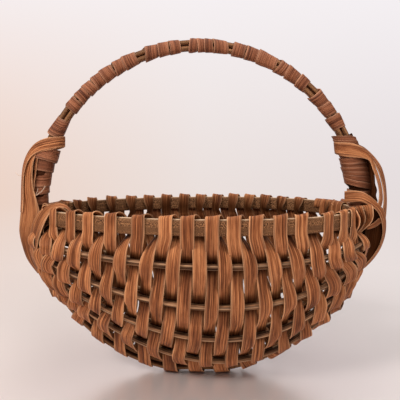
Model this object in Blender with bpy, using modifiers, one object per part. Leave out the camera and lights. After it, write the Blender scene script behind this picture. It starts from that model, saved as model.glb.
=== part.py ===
"""Gathering basket of split wood, built as a rib basket.

A round hoop of two stacked rods is both the handle and the keel. A flat rim hoop
crosses it, four round ribs on each side fill the belly, and long splints are woven
over rim, ribs and keel. Wound splints cover the handle, and lashings hold the ears,
where the two hoops cross.

Metres, +Z up. The origin is the middle of the flat on which the keel rests, +X runs
along the basket to the right and -Y is the front.
"""

import math

import bpy
from mathutils import Vector

# The upright hoop: its radius runs to the seam between its two rods.
HOOP_RADIUS = 0.1485
ROD_THICKNESS = 0.0050
ROD_DEPTH = 0.0090
KEEL_FLAT = 0.0025

# The rim, a flat strip on edge, and how far its plan is drawn to the right.
RIM_HEIGHT = 0.0130
RIM_THICKNESS = 0.0040
RIM_DROP = 0.0004
MOUTH_HALF_WIDTH = 0.0790
PLAN_SHIFT = 0.0190

# The ribs, from the rim down: shares of the mouth's half width and of the keel's depth,
# at mid length and at their tips.
RIB_DIAMETER = 0.0052
RIB_TIP_DIAMETER = 0.0030
RIB_WIDTH_SHARES = (0.930, 0.785, 0.582, 0.335)
RIB_DEPTH_SHARES = (0.262, 0.505, 0.722, 0.904)
RIB_TIP_WIDTH_SHARES = (0.165, 0.185, 0.200, 0.215)
RIB_TIP_DEPTH_SHARES = (0.180, 0.262, 0.345, 0.430)

# The woven splints.
SPLINT_WIDTH = 0.0110
SPLINT_THICKNESS = 0.0012
SPLINT_SIDE_GAP = 0.0012
RIB_STANDOFF = 0.0007
HOLLOW_SIDE_STANDOFF = 0.0007
WRAP_SLACK = 0.0008
# How far towards the next row each place of a turn over the rim lies.
WRAP_SIDE_SHARES = (0.00, 0.15, 0.40, 0.60, 0.85, 1.00)
KEEL_REST_HALF_LENGTH = 0.0090
ROW_COUNT = 31
STRAND_COUNT = 6
# Share of each line that its first row leaves free, and how much wider the middle rows
# are spaced, for the rim, the four ribs and the keel.
ROW_MARGIN_SHARES = (0.080, 0.066, 0.066, 0.066, 0.056, 0.163)
ROW_SPREAD_SHARES = (0.00, 0.01, 0.05, 0.06, 0.14, 0.04)

# The wound splint on the handle.
WRAP_WIDTH = 0.0093
WRAP_THICKNESS = 0.0008
WRAP_TURNS = 14
WRAP_JOINT_GAP = 0.0050

# The ears: height of the wound foot, drop down the keel, how far the bands stand out past
# the hoop above and below the rim, and how far they turn to the front or back.
EAR_RISE = 0.0620
EAR_DROP = 0.0730
LEFT_BOW_REACH = 0.0060
LEFT_SHIELD_REACH = 0.0072
RIGHT_FRONT_BOW_REACH = 0.0105
RIGHT_FRONT_SHIELD_REACH = 0.0125
RIGHT_BACK_BOW_REACH = 0.0205
RIGHT_BACK_SHIELD_REACH = 0.0140
EAR_FACING_DEGREES = {"left": 56, "right": 24}
EAR_ROW_SHARE = 1.3
EAR_CORE_THICKNESS = 0.0036
EAR_BAND_WIDTH = 0.0110
EAR_BAND_THICKNESS = 0.0012
EAR_TIP_WIDTH_SHARE = 0.5
COLLAR_THICKNESS = 0.0010
COLLAR_START = 0.0040
LEFT_COLLAR_TURNS = 6
RIGHT_COLLAR_TURNS = 10
COLLAR_TURN_GAP = 0.0016

# Fits and fineness.
CLEARANCE = 0.0003
HOOP_STEPS = 48
RIM_STEPS = 72
RIB_STEPS = 20
TURN_STEPS = 8
CORE_SIDES = 12
CORE_RINGS = 6
BAND_STEPS = 18

HOOP_STACK = 2 * ROD_THICKNESS + CLEARANCE
KEEL_DEPTH = HOOP_RADIUS - KEEL_FLAT
HOOP_CENTRE_HEIGHT = KEEL_DEPTH + HOOP_STACK / 2 + CLEARANCE + SPLINT_THICKNESS
RIM_MIDDLE_HEIGHT = HOOP_CENTRE_HEIGHT - RIM_DROP - RIM_HEIGHT / 2
RIM_BOTTOM_DEPTH = RIM_DROP + RIM_HEIGHT
RIM_HALF_LENGTH = (
    math.sqrt((HOOP_RADIUS - HOOP_STACK / 2) ** 2 - RIM_BOTTOM_DEPTH**2)
    - CLEARANCE
    - RIM_THICKNESS / 2
)
LAST_ROW = (ROW_COUNT - 1) // 2


def stack_reach():
    """Greatest distance of the two rods' section from the seam's middle."""
    seat = (ROD_THICKNESS + CLEARANCE) / 2
    reaches = []
    for degrees in range(91):
        turn = math.radians(degrees)
        height = seat + ROD_THICKNESS / 2 * math.sin(turn)
        reaches.append(math.hypot(height, ROD_DEPTH / 2 * math.cos(turn)))
    return max(reaches)


STACK_REACH = stack_reach()
CORE_REACH = (STACK_REACH + CLEARANCE + EAR_CORE_THICKNESS) / math.cos(math.pi / CORE_SIDES)
COLLAR_REACH = (CORE_REACH + CLEARANCE + COLLAR_THICKNESS) / math.cos(math.pi / TURN_STEPS)
EAR_DEPTH = COLLAR_REACH + CLEARANCE + EAR_BAND_THICKNESS / 2
EAR_REACHES = {
    "left_ear_front": (LEFT_BOW_REACH, LEFT_SHIELD_REACH),
    "left_ear_back": (LEFT_BOW_REACH, LEFT_SHIELD_REACH),
    "right_ear_front": (RIGHT_FRONT_BOW_REACH, RIGHT_FRONT_SHIELD_REACH),
    "right_ear_back": (RIGHT_BACK_BOW_REACH, RIGHT_BACK_SHIELD_REACH),
}

WOOD_COLOURS = {
    "rod": (0.34, 0.20, 0.11, 1.0),
    "rim": (0.20, 0.14, 0.07, 1.0),
    "rib": (0.30, 0.20, 0.12, 1.0),
    "splint": (0.48, 0.21, 0.09, 1.0),
    "lashing": (0.42, 0.19, 0.09, 1.0),
}
WOOD_ROUGHNESS = 0.62


def clear_scene():
    for obj in list(bpy.data.objects):
        bpy.data.objects.remove(obj, do_unlink=True)


def make_collection(name):
    collection = bpy.data.collections.new(name)
    bpy.context.scene.collection.children.link(collection)
    return collection


def wood_material(name, kind):
    material = bpy.data.materials.new(name + "_wood")
    material.use_nodes = True
    shader = material.node_tree.nodes["Principled BSDF"]
    shader.inputs["Base Color"].default_value = WOOD_COLOURS[kind]
    shader.inputs["Roughness"].default_value = WOOD_ROUGHNESS
    shader.inputs["Metallic"].default_value = 0.0
    return material


def add_object(name, data, kind):
    data.materials.append(wood_material(name, kind))
    obj = bpy.data.objects.new(name, data)
    basket.objects.link(obj)
    return obj


def round_rod(name, points, radii, cyclic, sides_resolution, kind):
    """A rod along the points: a poly curve with a round bevel."""
    curve = bpy.data.curves.new(name, "CURVE")
    curve.dimensions = "3D"
    curve.bevel_depth = 1.0
    curve.bevel_resolution = sides_resolution
    curve.use_fill_caps = not cyclic
    spline = curve.splines.new("POLY")
    spline.points.add(len(points) - 1)
    for spline_point, point, radius in zip(spline.points, points, radii):
        spline_point.co = (point.x, point.y, point.z, 1.0)
        spline_point.radius = radius
    spline.use_cyclic_u = cyclic
    return add_object(name, curve, kind)


def strip(name, pairs, thickness, kind, cyclic=False):
    """A thin band between two edges: an open strip of quads, thickened by Solidify."""
    vertices = [edge_point for pair in pairs for edge_point in pair]
    count = len(pairs)
    spans = count if cyclic else count - 1
    faces = []
    for index in range(spans):
        here = 2 * index
        ahead = 2 * ((index + 1) % count)
        faces.append((here, here + 1, ahead + 1, ahead))
    mesh = bpy.data.meshes.new(name)
    mesh.from_pydata(vertices, [], faces)
    mesh.update()
    obj = add_object(name, mesh, kind)
    solidify = obj.modifiers.new("thickness", "SOLIDIFY")
    solidify.thickness = thickness
    solidify.offset = 0.0
    solidify.use_even_offset = True
    return obj


class Line:
    """A polyline that can be asked for its point and direction at a share of its length."""

    def __init__(self, points):
        self.points = points
        self.lengths = [0.0]
        for start, end in zip(points, points[1:]):
            self.lengths.append(self.lengths[-1] + (end - start).length)

    def at(self, share):
        distance = min(max(share, 0.0), 1.0) * self.lengths[-1]
        index = 0
        while index < len(self.points) - 2 and self.lengths[index + 1] < distance:
            index += 1
        start, end = self.points[index], self.points[index + 1]
        part = (distance - self.lengths[index]) / (self.lengths[index + 1] - self.lengths[index])
        return start.lerp(end, part)

    def across(self, share, width):
        """The point, and the direction of a chord of this width around it."""
        half_share = width / 2 / self.lengths[-1]
        chord = self.at(share + half_share) - self.at(share - half_share)
        return self.at(share), chord.normalized()


def smooth_path(points, steps):
    """Catmull-Rom points through the given ones, evenly spread over their spans."""
    padded = [2 * points[0] - points[1]] + points + [2 * points[-1] - points[-2]]
    path = []
    spans = len(points) - 1
    for step in range(steps + 1):
        position = spans * step / steps
        span = min(int(position), spans - 1)
        t = position - span
        a, b, c, d = padded[span : span + 4]
        path.append(
            0.5
            * (
                2 * b
                + (c - a) * t
                + (2 * a - 5 * b + 4 * c - d) * t * t
                + (3 * b - a - 3 * c + d) * t * t * t
            )
        )
    return path


def hoop_point(angle, offset):
    """Point of the upright hoop, offset outward from the seam of its rods."""
    x = (HOOP_RADIUS + offset) * math.cos(angle)
    z = max((HOOP_RADIUS + offset) * math.sin(angle), -(KEEL_DEPTH + offset))
    return Vector((x, 0.0, HOOP_CENTRE_HEIGHT + z))


def rim_plan(turn, half_length, half_width):
    """Point of an egg-shaped outline: turn 0 is the left end, pi the right end."""
    x = -half_length * math.cos(turn) + PLAN_SHIFT * math.sin(turn) ** 2
    return Vector((x, -half_width * math.sin(turn), 0.0))


def make_hoop():
    """The inner and the outer rod, each a full ring, drawn round and then deepened."""
    angles = [2 * math.pi * step / HOOP_STEPS for step in range(HOOP_STEPS)]
    seat = (ROD_THICKNESS + CLEARANCE) / 2
    for name, offset in (("hoop_inner_rod", -seat), ("hoop_outer_rod", seat)):
        points = [hoop_point(angle, offset) for angle in angles]
        radii = [ROD_THICKNESS / 2] * HOOP_STEPS
        rod = round_rod(name, points, radii, True, 2, "rod")
        rod.scale.y = ROD_DEPTH / ROD_THICKNESS


def rim_loop():
    points = []
    for step in range(RIM_STEPS):
        turn = 2 * math.pi * step / RIM_STEPS
        point = rim_plan(turn, RIM_HALF_LENGTH, MOUTH_HALF_WIDTH)
        points.append(point + Vector((0.0, 0.0, RIM_MIDDLE_HEIGHT)))
    return points


def make_rim():
    half = Vector((0.0, 0.0, RIM_HEIGHT / 2))
    pairs = [(point - half, point + half) for point in rim_loop()]
    strip("rim_hoop", pairs, RIM_THICKNESS, "rim", cyclic=True)


def rib_points(index):
    """Centre line of a front rib, from its left tip to its right tip."""
    tip_depth = RIB_TIP_DEPTH_SHARES[index] * KEEL_DEPTH
    middle_depth = RIB_DEPTH_SHARES[index] * KEEL_DEPTH
    tip_width = RIB_TIP_WIDTH_SHARES[index] * MOUTH_HALF_WIDTH
    middle_width = RIB_WIDTH_SHARES[index] * MOUTH_HALF_WIDTH
    half_length = math.sqrt(HOOP_RADIUS**2 - tip_depth**2)
    points = []
    for step in range(RIB_STEPS + 1):
        turn = math.pi * step / RIB_STEPS
        swell = math.sin(turn)
        point = rim_plan(turn, half_length, middle_width - tip_width)
        point.y -= tip_width
        point.z = HOOP_CENTRE_HEIGHT - tip_depth - (middle_depth - tip_depth) * swell**2
        points.append(point)
    return points


def mirrored(vector):
    return Vector((vector.x, -vector.y, vector.z))


def make_ribs():
    radii = []
    for step in range(RIB_STEPS + 1):
        taper = min(1.0, 4 * min(step, RIB_STEPS - step) / RIB_STEPS)
        radii.append((RIB_TIP_DIAMETER + (RIB_DIAMETER - RIB_TIP_DIAMETER) * taper) / 2)
    for index in range(len(RIB_WIDTH_SHARES)):
        points = rib_points(index)
        round_rod(f"front_rib_{index + 1}", points, radii, False, 1, "rib")
        back_points = [mirrored(point) for point in points]
        round_rod(f"back_rib_{index + 1}", back_points, radii, False, 1, "rib")


def row_share(row, level):
    """Where a row crosses the rim (level 0), a rib (1 to 4) or the keel (5)."""
    place = row / LAST_ROW
    spread = ROW_SPREAD_SHARES[level]
    place += spread * math.sin(math.pi * place) / math.pi
    return 0.5 + (0.5 - ROW_MARGIN_SHARES[level]) * place


def front_lines():
    """The lines that the rows cross, all running from left to right."""
    rim = Line(rim_loop()[: RIM_STEPS // 2 + 1])
    ribs = [Line(rib_points(index)) for index in range(len(RIB_WIDTH_SHARES))]
    half = HOOP_STEPS // 2
    angles = [math.pi * (1 + step / half) for step in range(half + 1)]
    keel = Line([hoop_point(angle, 0.0) for angle in angles])
    return [rim] + ribs + [keel]


def level_point(row, level):
    """Centre of a crossing on the front half, with the direction of the line crossed."""
    point, along = lines[level].across(row_share(row, level), SPLINT_WIDTH)
    if level == 0:
        point = point - Vector((0.0, 0.0, RIM_HEIGHT / 2))
    return point, along


def outward(row, level):
    """The direction away from the basket's inside at a crossing."""
    above = level_point(row, level - 1)[0]
    below = level_point(row, level + 1)[0]
    point, along = level_point(row, level)
    normal = along.cross(below - above).normalized()
    centre = Vector((point.x, 0.0, HOOP_CENTRE_HEIGHT))
    if normal.dot(point - centre) < 0:
        normal = -normal
    return normal


def middle(row, level):
    """The place half way from one line to the next, where neighbouring rows pass."""
    point, along = level_point(row, level)
    next_point, next_along = level_point(row, level + 1)
    return point.lerp(next_point, 0.5), (along + next_along).normalized()


def half_row(row, over):
    """Stations of a row on the front half, from the rim down to the keel.

    Each is the centre, the direction of the width and half the width. over is 1 where
    the row passes outside the rim, and -1 where it passes inside.
    """
    stations = []
    side = over
    stand = RIB_DIAMETER / 2 + CLEARANCE + SPLINT_THICKNESS / 2 + RIB_STANDOFF
    for level in range(5):
        if level > 0:
            point, along = level_point(row, level)
            stations.append((point + outward(row, level) * side * stand, along, SPLINT_WIDTH / 2))
        point, along = middle(row, level)
        pitch = (middle(row + 0.5, level)[0] - middle(row - 0.5, level)[0]).length
        narrow = min(pitch - SPLINT_SIDE_GAP, SPLINT_WIDTH)
        stations.append((point, along, narrow / 2))
        side = -side
    point, along = level_point(row, 5)
    down = (point - Vector((0.0, 0.0, HOOP_CENTRE_HEIGHT))).normalized()
    if abs(along.z) < abs(along.x) * KEEL_FLAT / HOOP_RADIUS:
        down = Vector((0.0, 0.0, -1.0))
    lift = HOOP_STACK / 2 + CLEARANCE + SPLINT_THICKNESS / 2
    lift += 0.0 if side > 0 else HOLLOW_SIDE_STANDOFF
    run = KEEL_REST_HALF_LENGTH if side > 0 else ROD_DEPTH / 2 + WRAP_SLACK
    seat = point + down * side * lift - Vector((0.0, run, 0.0))
    stations.append((seat, along, SPLINT_WIDTH / 2))
    return stations


def mirror_stations(stations):
    return [(mirrored(centre), mirrored(along), half) for centre, along, half in stations]


def rim_station(row, out, height, front):
    """A station on the rim: out is the offset from its middle, height is above it."""
    point, along = lines[0].across(row_share(row, 0), SPLINT_WIDTH)
    normal = along.cross(Vector((0.0, 0.0, 1.0)))
    centre = point + normal * out + Vector((0.0, 0.0, height))
    station = (centre, along, SPLINT_WIDTH / 2)
    return station if front else mirror_stations([station])[0]


def rim_route(over):
    """Offsets and heights over the rim's top, from one face to the other."""
    wall = RIM_THICKNESS / 2 + CLEARANCE + SPLINT_THICKNESS / 2
    crest = RIM_HEIGHT / 2 + CLEARANCE + SPLINT_THICKNESS / 2 + WRAP_SLACK
    hollow = wall + HOLLOW_SIDE_STANDOFF
    walls = (wall, hollow) if over > 0 else (hollow, wall)
    low = -RIM_HEIGHT / 2 - WRAP_SLACK
    return (
        (over * walls[0], low),
        (over * (walls[0] + CLEARANCE), RIM_HEIGHT / 2),
        (over * RIM_THICKNESS / 2, crest),
        (-over * RIM_THICKNESS / 2, crest),
        (-over * (walls[1] + CLEARANCE), RIM_HEIGHT / 2),
        (-over * walls[1], low),
    )


def rim_wrap(row, over, front):
    """Stations from a row's last pass to the next row, over the top of the rim."""
    return [
        rim_station(row + share, *place, front)
        for share, place in zip(WRAP_SIDE_SHARES, rim_route(over))
    ]


def make_strands():
    """The woven splints: every row runs rim, ribs, keel, ribs, rim, then turns back."""
    rows = list(range(-LAST_ROW, LAST_ROW + 1))
    shortest = ROW_COUNT // STRAND_COUNT
    longer = ROW_COUNT % STRAND_COUNT
    start = 0
    for strand in range(STRAND_COUNT):
        count = shortest + (1 if strand < longer else 0)
        stations = []
        for row in rows[start : start + count]:
            over = 1 if (row - LAST_ROW) % 2 == 0 else -1
            to_front = over > 0
            half = half_row(row, over)
            if to_front:
                stations += mirror_stations(half) + half[::-1]
            else:
                stations += half + mirror_stations(half)[::-1]
            if row < LAST_ROW:
                stations += rim_wrap(row, over, to_front)
        pairs = [(centre - along * width, centre + along * width) for centre, along, width in stations]
        strip(f"woven_splint_{strand + 1}", pairs, SPLINT_THICKNESS, "splint")
        start += count


def wound_band(name, core_reach, angles, turns, width, thickness):
    """A flat band wound round the hoop between two angles, one unbroken ribbon."""
    first, last = angles
    steps = turns * TURN_STEPS
    reach = (core_reach + CLEARANCE + thickness / 2) / math.cos(math.pi / TURN_STEPS)
    pairs = []
    for step in range(steps + 1):
        share = step / steps
        angle = first + (last - first) * share
        turn = 2 * math.pi * step / TURN_STEPS
        outward_axis = Vector((math.cos(angle), 0.0, math.sin(angle)))
        along = Vector((-math.sin(angle), 0.0, math.cos(angle)))
        centre = hoop_point(angle, 0.0) + outward_axis * reach * math.cos(turn)
        centre.y += reach * math.sin(turn)
        pairs.append((centre - along * width / 2, centre + along * width / 2))
    strip(name, pairs, thickness, "lashing")
    print(f"{name}: least gap between turns {1000 * least_turn_gap(pairs):.2f} mm")


def least_turn_gap(pairs):
    """Least distance between the edges of neighbouring turns, on their points."""
    ahead = pairs[TURN_STEPS:]
    gaps = []
    for here, there in zip(pairs, ahead):
        gaps += [(near - far).length for near in here for far in there]
    return min(gaps)


def foot_angle(height):
    """Angle above the level of the hoop's centre at which the hoop has this height."""
    return math.asin(height / HOOP_RADIUS)


def make_handle_wraps():
    top_gap = WRAP_JOINT_GAP / HOOP_RADIUS
    margin = (WRAP_WIDTH / 2 + COLLAR_TURN_GAP) / HOOP_RADIUS
    foot = foot_angle(EAR_RISE) + margin
    half_width = WRAP_WIDTH / 2 / HOOP_RADIUS
    top = math.pi / 2
    left = (math.pi - foot, top + top_gap / 2 + half_width)
    right = (foot, top - top_gap / 2 - half_width)
    for name, angles in (("handle_wrap_left", left), ("handle_wrap_right", right)):
        wound_band(name, STACK_REACH, angles, WRAP_TURNS, WRAP_WIDTH, WRAP_THICKNESS)


def make_ear_core(name, first, last):
    """The lashing's inner layers: a sleeve round both rods, under the outer turns."""
    reach = (STACK_REACH + CLEARANCE + EAR_CORE_THICKNESS / 2) / math.cos(math.pi / CORE_SIDES)
    vertices = []
    for ring in range(CORE_RINGS + 1):
        angle = first + (last - first) * ring / CORE_RINGS
        outward_axis = Vector((math.cos(angle), 0.0, math.sin(angle)))
        for side in range(CORE_SIDES):
            turn = 2 * math.pi * side / CORE_SIDES
            point = hoop_point(angle, 0.0) + outward_axis * reach * math.cos(turn)
            point.y += reach * math.sin(turn)
            vertices.append(point)
    faces = []
    for ring in range(CORE_RINGS):
        for side in range(CORE_SIDES):
            here = ring * CORE_SIDES
            ahead = here + CORE_SIDES
            after = (side + 1) % CORE_SIDES
            faces.append((here + side, here + after, ahead + after, ahead + side))
    mesh = bpy.data.meshes.new(name)
    mesh.from_pydata(vertices, [], faces)
    mesh.update()
    obj = add_object(name, mesh, "lashing")
    solidify = obj.modifiers.new("thickness", "SOLIDIFY")
    solidify.thickness = EAR_CORE_THICKNESS
    solidify.offset = 0.0
    solidify.use_even_offset = True


def make_collars():
    """The wound foot of the handle at each ear, over the inner layers."""
    low = foot_angle(COLLAR_START)
    high = foot_angle(EAR_RISE)
    for side, turns in (("left", LEFT_COLLAR_TURNS), ("right", RIGHT_COLLAR_TURNS)):
        flip = (lambda angle: math.pi - angle) if side == "left" else (lambda angle: angle)
        pitch = HOOP_RADIUS * (high - low) / (turns + 1)
        inner_pitch = pitch * (1 - CORE_REACH / HOOP_RADIUS)
        width = inner_pitch - COLLAR_TURN_GAP / 2
        inset = width / 2 / HOOP_RADIUS
        make_ear_core(f"{side}_ear_inner_layers", flip(low), flip(high))
        angles = (flip(low + inset), flip(high - inset))
        wound_band(f"{side}_ear_collar", CORE_REACH, angles, turns, width, COLLAR_THICKNESS)


# Places of the ear bands at the right front, from the handle and from the rim down to the
# keel: height as a share of the ear's rise or drop, inset towards the basket as a share
# of the wound foot's reach, reach and depth as shares of the ear's; then the way the face
# looks, from outward (0) over the ear's own way (1) to the front (2), and how far up, in
# degrees.
BOW_SHARES = (
    (0.80, 0.62, 0.00, 1.02, 2.0, 0),
    (0.86, 0.12, 0.02, 1.02, 1.8, 8),
    (0.84, 0.00, 0.50, 0.98, 1.3, 30),
    (0.62, 0.00, 1.00, 0.88, 1.0, 18),
    (0.30, 0.00, 1.06, 0.78, 1.0, 5),
    (0.02, 0.00, 1.00, 0.66, 1.0, 0),
    (-0.30, 0.00, 1.05, 0.58, 1.0, -5),
    (-0.58, 0.00, 0.92, 0.52, 0.8, -16),
    (-0.82, 0.00, 0.42, 0.50, 0.4, -28),
    (-1.00, 0.00, 0.02, 0.49, 0.0, -30),
)
SHIELD_SHARES = (
    (-0.12, 0.20, 0.00, 1.50, 1.6, 20),
    (-0.26, 0.00, 0.40, 1.46, 1.2, 8),
    (-0.44, 0.00, 0.72, 1.28, 1.1, -4),
    (-0.62, 0.00, 0.62, 1.18, 1.3, -14),
    (-0.80, 0.00, 0.22, 1.04, 1.5, -24),
)


def ear_place(shares, reaches, facing_degrees):
    """Centre and facing of an ear band at the right front, from one row of shares."""
    height_share, inset_share, reach_share, depth_share, way, up_degrees = shares
    height = height_share * (EAR_RISE if height_share > 0 else EAR_DROP)
    reach = reaches[0] if height_share > 0 else reaches[1]
    outer = HOOP_RADIUS + HOOP_STACK / 2 + CLEARANCE + EAR_BAND_THICKNESS / 2
    x = math.sqrt(outer**2 - height**2) - inset_share * COLLAR_REACH + reach_share * reach
    turned = way * facing_degrees if way < 1 else facing_degrees + (way - 1) * (90 - facing_degrees)
    around = math.radians(turned)
    up = math.radians(up_degrees)
    place = Vector((x, -depth_share * EAR_DEPTH, HOOP_CENTRE_HEIGHT + height))
    level = math.cos(up)
    return place, Vector((math.cos(around) * level, -math.sin(around) * level, math.sin(up)))


def ear_path(table, reaches, facing_degrees):
    """Stations of an ear band at the right front: centre and direction of the width."""
    places, facings = zip(*[ear_place(shares, reaches, facing_degrees) for shares in table])
    path = smooth_path(list(places), BAND_STEPS)
    facing_path = smooth_path(list(facings), BAND_STEPS)
    stations = []
    for index, (point, facing) in enumerate(zip(path, facing_path)):
        before = path[max(index - 1, 0)]
        after = path[min(index + 1, BAND_STEPS)]
        stations.append((point, (after - before).cross(facing).normalized()))
    return stations


def make_ear_bands():
    """Bands from the wound foot, and bands over the rim, that meet on the keel."""
    for end in ("left", "right"):
        row = (LAST_ROW + EAR_ROW_SHARE) * (-1 if end == "left" else 1)
        over_rim = [rim_station(row, *place, True) for place in rim_route(1)][::-1]
        for face in ("front", "back"):
            reaches = EAR_REACHES[f"{end}_ear_{face}"]
            facing = EAR_FACING_DEGREES[end]
            flip = Vector((-1.0 if end == "left" else 1.0, 1.0, 1.0))
            bow = [(at * flip, side * flip) for at, side in ear_path(BOW_SHARES, reaches, facing)]
            drop = [(at * flip, side * flip) for at, side in ear_path(SHIELD_SHARES, reaches, facing)]
            shield = [(centre, along * flip.x) for centre, along, half in over_rim[:-1]]
            shield += [(centre, across) for centre, across in drop]
            for name, stations in (("bow", bow), ("shield", shield)):
                pairs = []
                for index, (centre, side) in enumerate(stations):
                    to_tip = max(0.0, 2 * index / (len(stations) - 1) - 1)
                    half = side * EAR_BAND_WIDTH / 2 * (1 - (1 - EAR_TIP_WIDTH_SHARE) * to_tip)
                    pairs.append((centre - half, centre + half))
                if face == "back":
                    pairs = [(mirrored(first), mirrored(last)) for first, last in pairs]
                strip(f"{end}_ear_{face}_{name}", pairs, EAR_BAND_THICKNESS, "lashing")


clear_scene()
basket = make_collection("gathering_basket")
lines = front_lines()
make_hoop()
make_rim()
make_ribs()
make_strands()
make_handle_wraps()
make_collars()
make_ear_bands()
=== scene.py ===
import math
import random
from bisect import bisect_right

import bpy
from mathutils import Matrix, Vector, noise


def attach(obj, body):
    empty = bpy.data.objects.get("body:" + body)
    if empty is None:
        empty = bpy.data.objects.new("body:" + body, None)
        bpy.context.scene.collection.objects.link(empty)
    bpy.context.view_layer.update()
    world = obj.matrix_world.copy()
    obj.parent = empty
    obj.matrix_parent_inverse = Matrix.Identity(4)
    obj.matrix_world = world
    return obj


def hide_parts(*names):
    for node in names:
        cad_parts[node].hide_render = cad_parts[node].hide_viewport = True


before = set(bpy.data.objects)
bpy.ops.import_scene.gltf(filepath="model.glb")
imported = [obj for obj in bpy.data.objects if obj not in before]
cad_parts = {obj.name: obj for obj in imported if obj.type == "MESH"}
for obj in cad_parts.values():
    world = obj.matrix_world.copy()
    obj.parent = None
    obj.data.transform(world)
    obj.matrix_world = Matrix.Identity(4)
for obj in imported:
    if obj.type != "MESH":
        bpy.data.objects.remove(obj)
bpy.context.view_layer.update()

# The camera: where it stands, and the photograph's scale and horizon in its pixels.
CAMERA_PLACE = Vector((0.0, -0.4345, 0.20905))
LENS_PIXELS = 468.2
IMAGE_PIXELS = 400
PHOTO_MIDDLE_COLUMN = 199.0
HORIZON_ROW = 144.7
SENSOR_WIDTH_MM = 36

# The upright hoop of two rods, and the flat rim hoop.
HOOP_RADIUS = 0.1485
ROD_THICKNESS = 0.0050
ROD_DEPTH = 0.0090
KEEL_FLAT = 0.0025
RIM_HEIGHT = 0.0130
RIM_THICKNESS = 0.0040
RIM_DROP = 0.0004
MOUTH_HALF_WIDTH = 0.0790
PLAN_SHIFT = 0.0190

# The ribs, from the rim down: shares of the mouth's half width and of the keel's depth,
# at mid length and at their tips.
RIB_DIAMETER = 0.0052
RIB_TIP_DIAMETER = 0.0030
RIB_WIDTH_SHARES = (0.930, 0.785, 0.582, 0.335)
RIB_DEPTH_SHARES = (0.262, 0.505, 0.722, 0.904)
RIB_TIP_WIDTH_SHARES = (0.165, 0.185, 0.200, 0.215)
RIB_TIP_DEPTH_SHARES = (0.180, 0.262, 0.345, 0.430)

# The woven splints.
SPLINT_WIDTH = 0.0110
SPLINT_THICKNESS = 0.0010
SPLINT_LAP = 0.0003
CLEARANCE = 0.0003
ROW_COUNT = 31
STRAND_COUNT = 6
LAST_ROW = (ROW_COUNT - 1) // 2
END_ROW_WIDTH_SHARE = 0.95
ROW_MARGIN_SHARES = (0.080, 0.066, 0.066, 0.066, 0.056, 0.163)
ROW_SPREAD_SHARES = (0.00, 0.01, 0.05, 0.06, 0.14, 0.04)
RIM_STAND = RIM_THICKNESS / 2 + CLEARANCE + SPLINT_THICKNESS / 2
RIB_STAND = RIB_DIAMETER / 2 + CLEARANCE + SPLINT_THICKNESS / 2

HOOP_STACK = 2 * ROD_THICKNESS + CLEARANCE
KEEL_DEPTH = HOOP_RADIUS - KEEL_FLAT
KEEL_STAND = HOOP_STACK / 2 + CLEARANCE + SPLINT_THICKNESS / 2
HOOP_CENTRE_HEIGHT = 0.15265
RIM_MIDDLE_HEIGHT = HOOP_CENTRE_HEIGHT - RIM_DROP - RIM_HEIGHT / 2
RIM_BOTTOM_DEPTH = RIM_DROP + RIM_HEIGHT
RIM_HALF_LENGTH = (
    math.sqrt((HOOP_RADIUS - HOOP_STACK / 2) ** 2 - RIM_BOTTOM_DEPTH**2)
    - CLEARANCE
    - RIM_THICKNESS / 2
)

# Columns of the photograph in which each row passes outside, one table for the rim, the
# four ribs and the keel.
FRONT_COLUMNS = (
    {
        -15: 46, -13: 56, -11: 73, -9: 90, -7: 112, -5: 139, -3: 166, -1: 187.5,
        1: 212, 3: 233.5, 5: 255, 7: 279, 9: 299.5, 11: 326, 13: 341, 15: 350,
    },
    {
        -14: 50, -12: 62, -10: 77, -8: 97, -6: 121, -4: 147, -2: 173.5, 0: 200,
        2: 225, 4: 250, 6: 274, 8: 296, 10: 315, 12: 331, 14: 345, 15: 352,
    },
    {
        -15: 45, -13: 51, -11: 67, -9: 87, -7: 107.5, -5: 132, -3: 157, -1: 184, 1: 211.5,
        3: 237, 5: 265, 7: 289, 9: 311, 11: 331, 13: 347,
    },
    {
        -14: 53, -12: 64, -10: 79, -8: 97, -6: 119, -4: 143, -2: 168, 0: 195, 2: 221,
        4: 248, 6: 274, 8: 296, 10: 316, 12: 333,
    },
    {
        -9: 86, -7: 105, -5: 128, -3: 154, -1: 179, 1: 206, 3: 231, 5: 256,
        7: 282, 9: 303, 11: 320,
    },
    {
        -15: 47.5, -14: 50, -12: 65, -10: 83, -8: 103, -6: 124.5, -4: 148, -2: 172.5, 0: 197,
        2: 222, 4: 248, 6: 276, 8: 298, 10: 316, 12: 334, 14: 347, 15: 350,
    },
)
BACK_RIM_COLUMNS = {
    -15: 55, -13.5: 68, -11.5: 79, -9.5: 95, -7.5: 115, -5.5: 135, -3.5: 152, -1.5: 170,
    0.5: 188, 2.5: 204, 4.5: 221, 6.5: 237, 8.5: 253, 10.5: 269, 12.5: 286, 14.5: 304,
    15: 309,
}
BACK_JITTER_SHARE = 0.005
# How much of a row's place on the back rim it keeps on each rib below.
BACK_FOLLOW_SHARES = (0.80, 0.55, 0.30, 0.12)
# The first rows beside the ears, and how far from the last numbered row to the line's end.
END_ROW_REACH_SHARES = {1: 0.40, 2: 0.74}

# Fineness.
HOOP_STEPS = 192
RIM_STEPS = 288
RIB_STEPS = 96
LEVEL_STEPS = 13
WRAP_STEPS = 20
BISECTIONS = 40

UP = Vector((0.0, 0.0, 1.0))
HOOP_CENTRE = UP * HOOP_CENTRE_HEIGHT
# How far the middle that the basket's sides face away from follows a place along it.
MIDDLE_FOLLOW_SHARE = 0.6
# The lines that a row crosses are counted from the rim down.
KEEL_LEVEL = len(RIB_WIDTH_SHARES) + 1
STANDS = (RIM_STAND, *[RIB_STAND] * len(RIB_WIDTH_SHARES), KEEL_STAND)


# Places.


def pixel_column(point):
    return PHOTO_MIDDLE_COLUMN + LENS_PIXELS * point.x / (point.y - CAMERA_PLACE.y)


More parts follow.
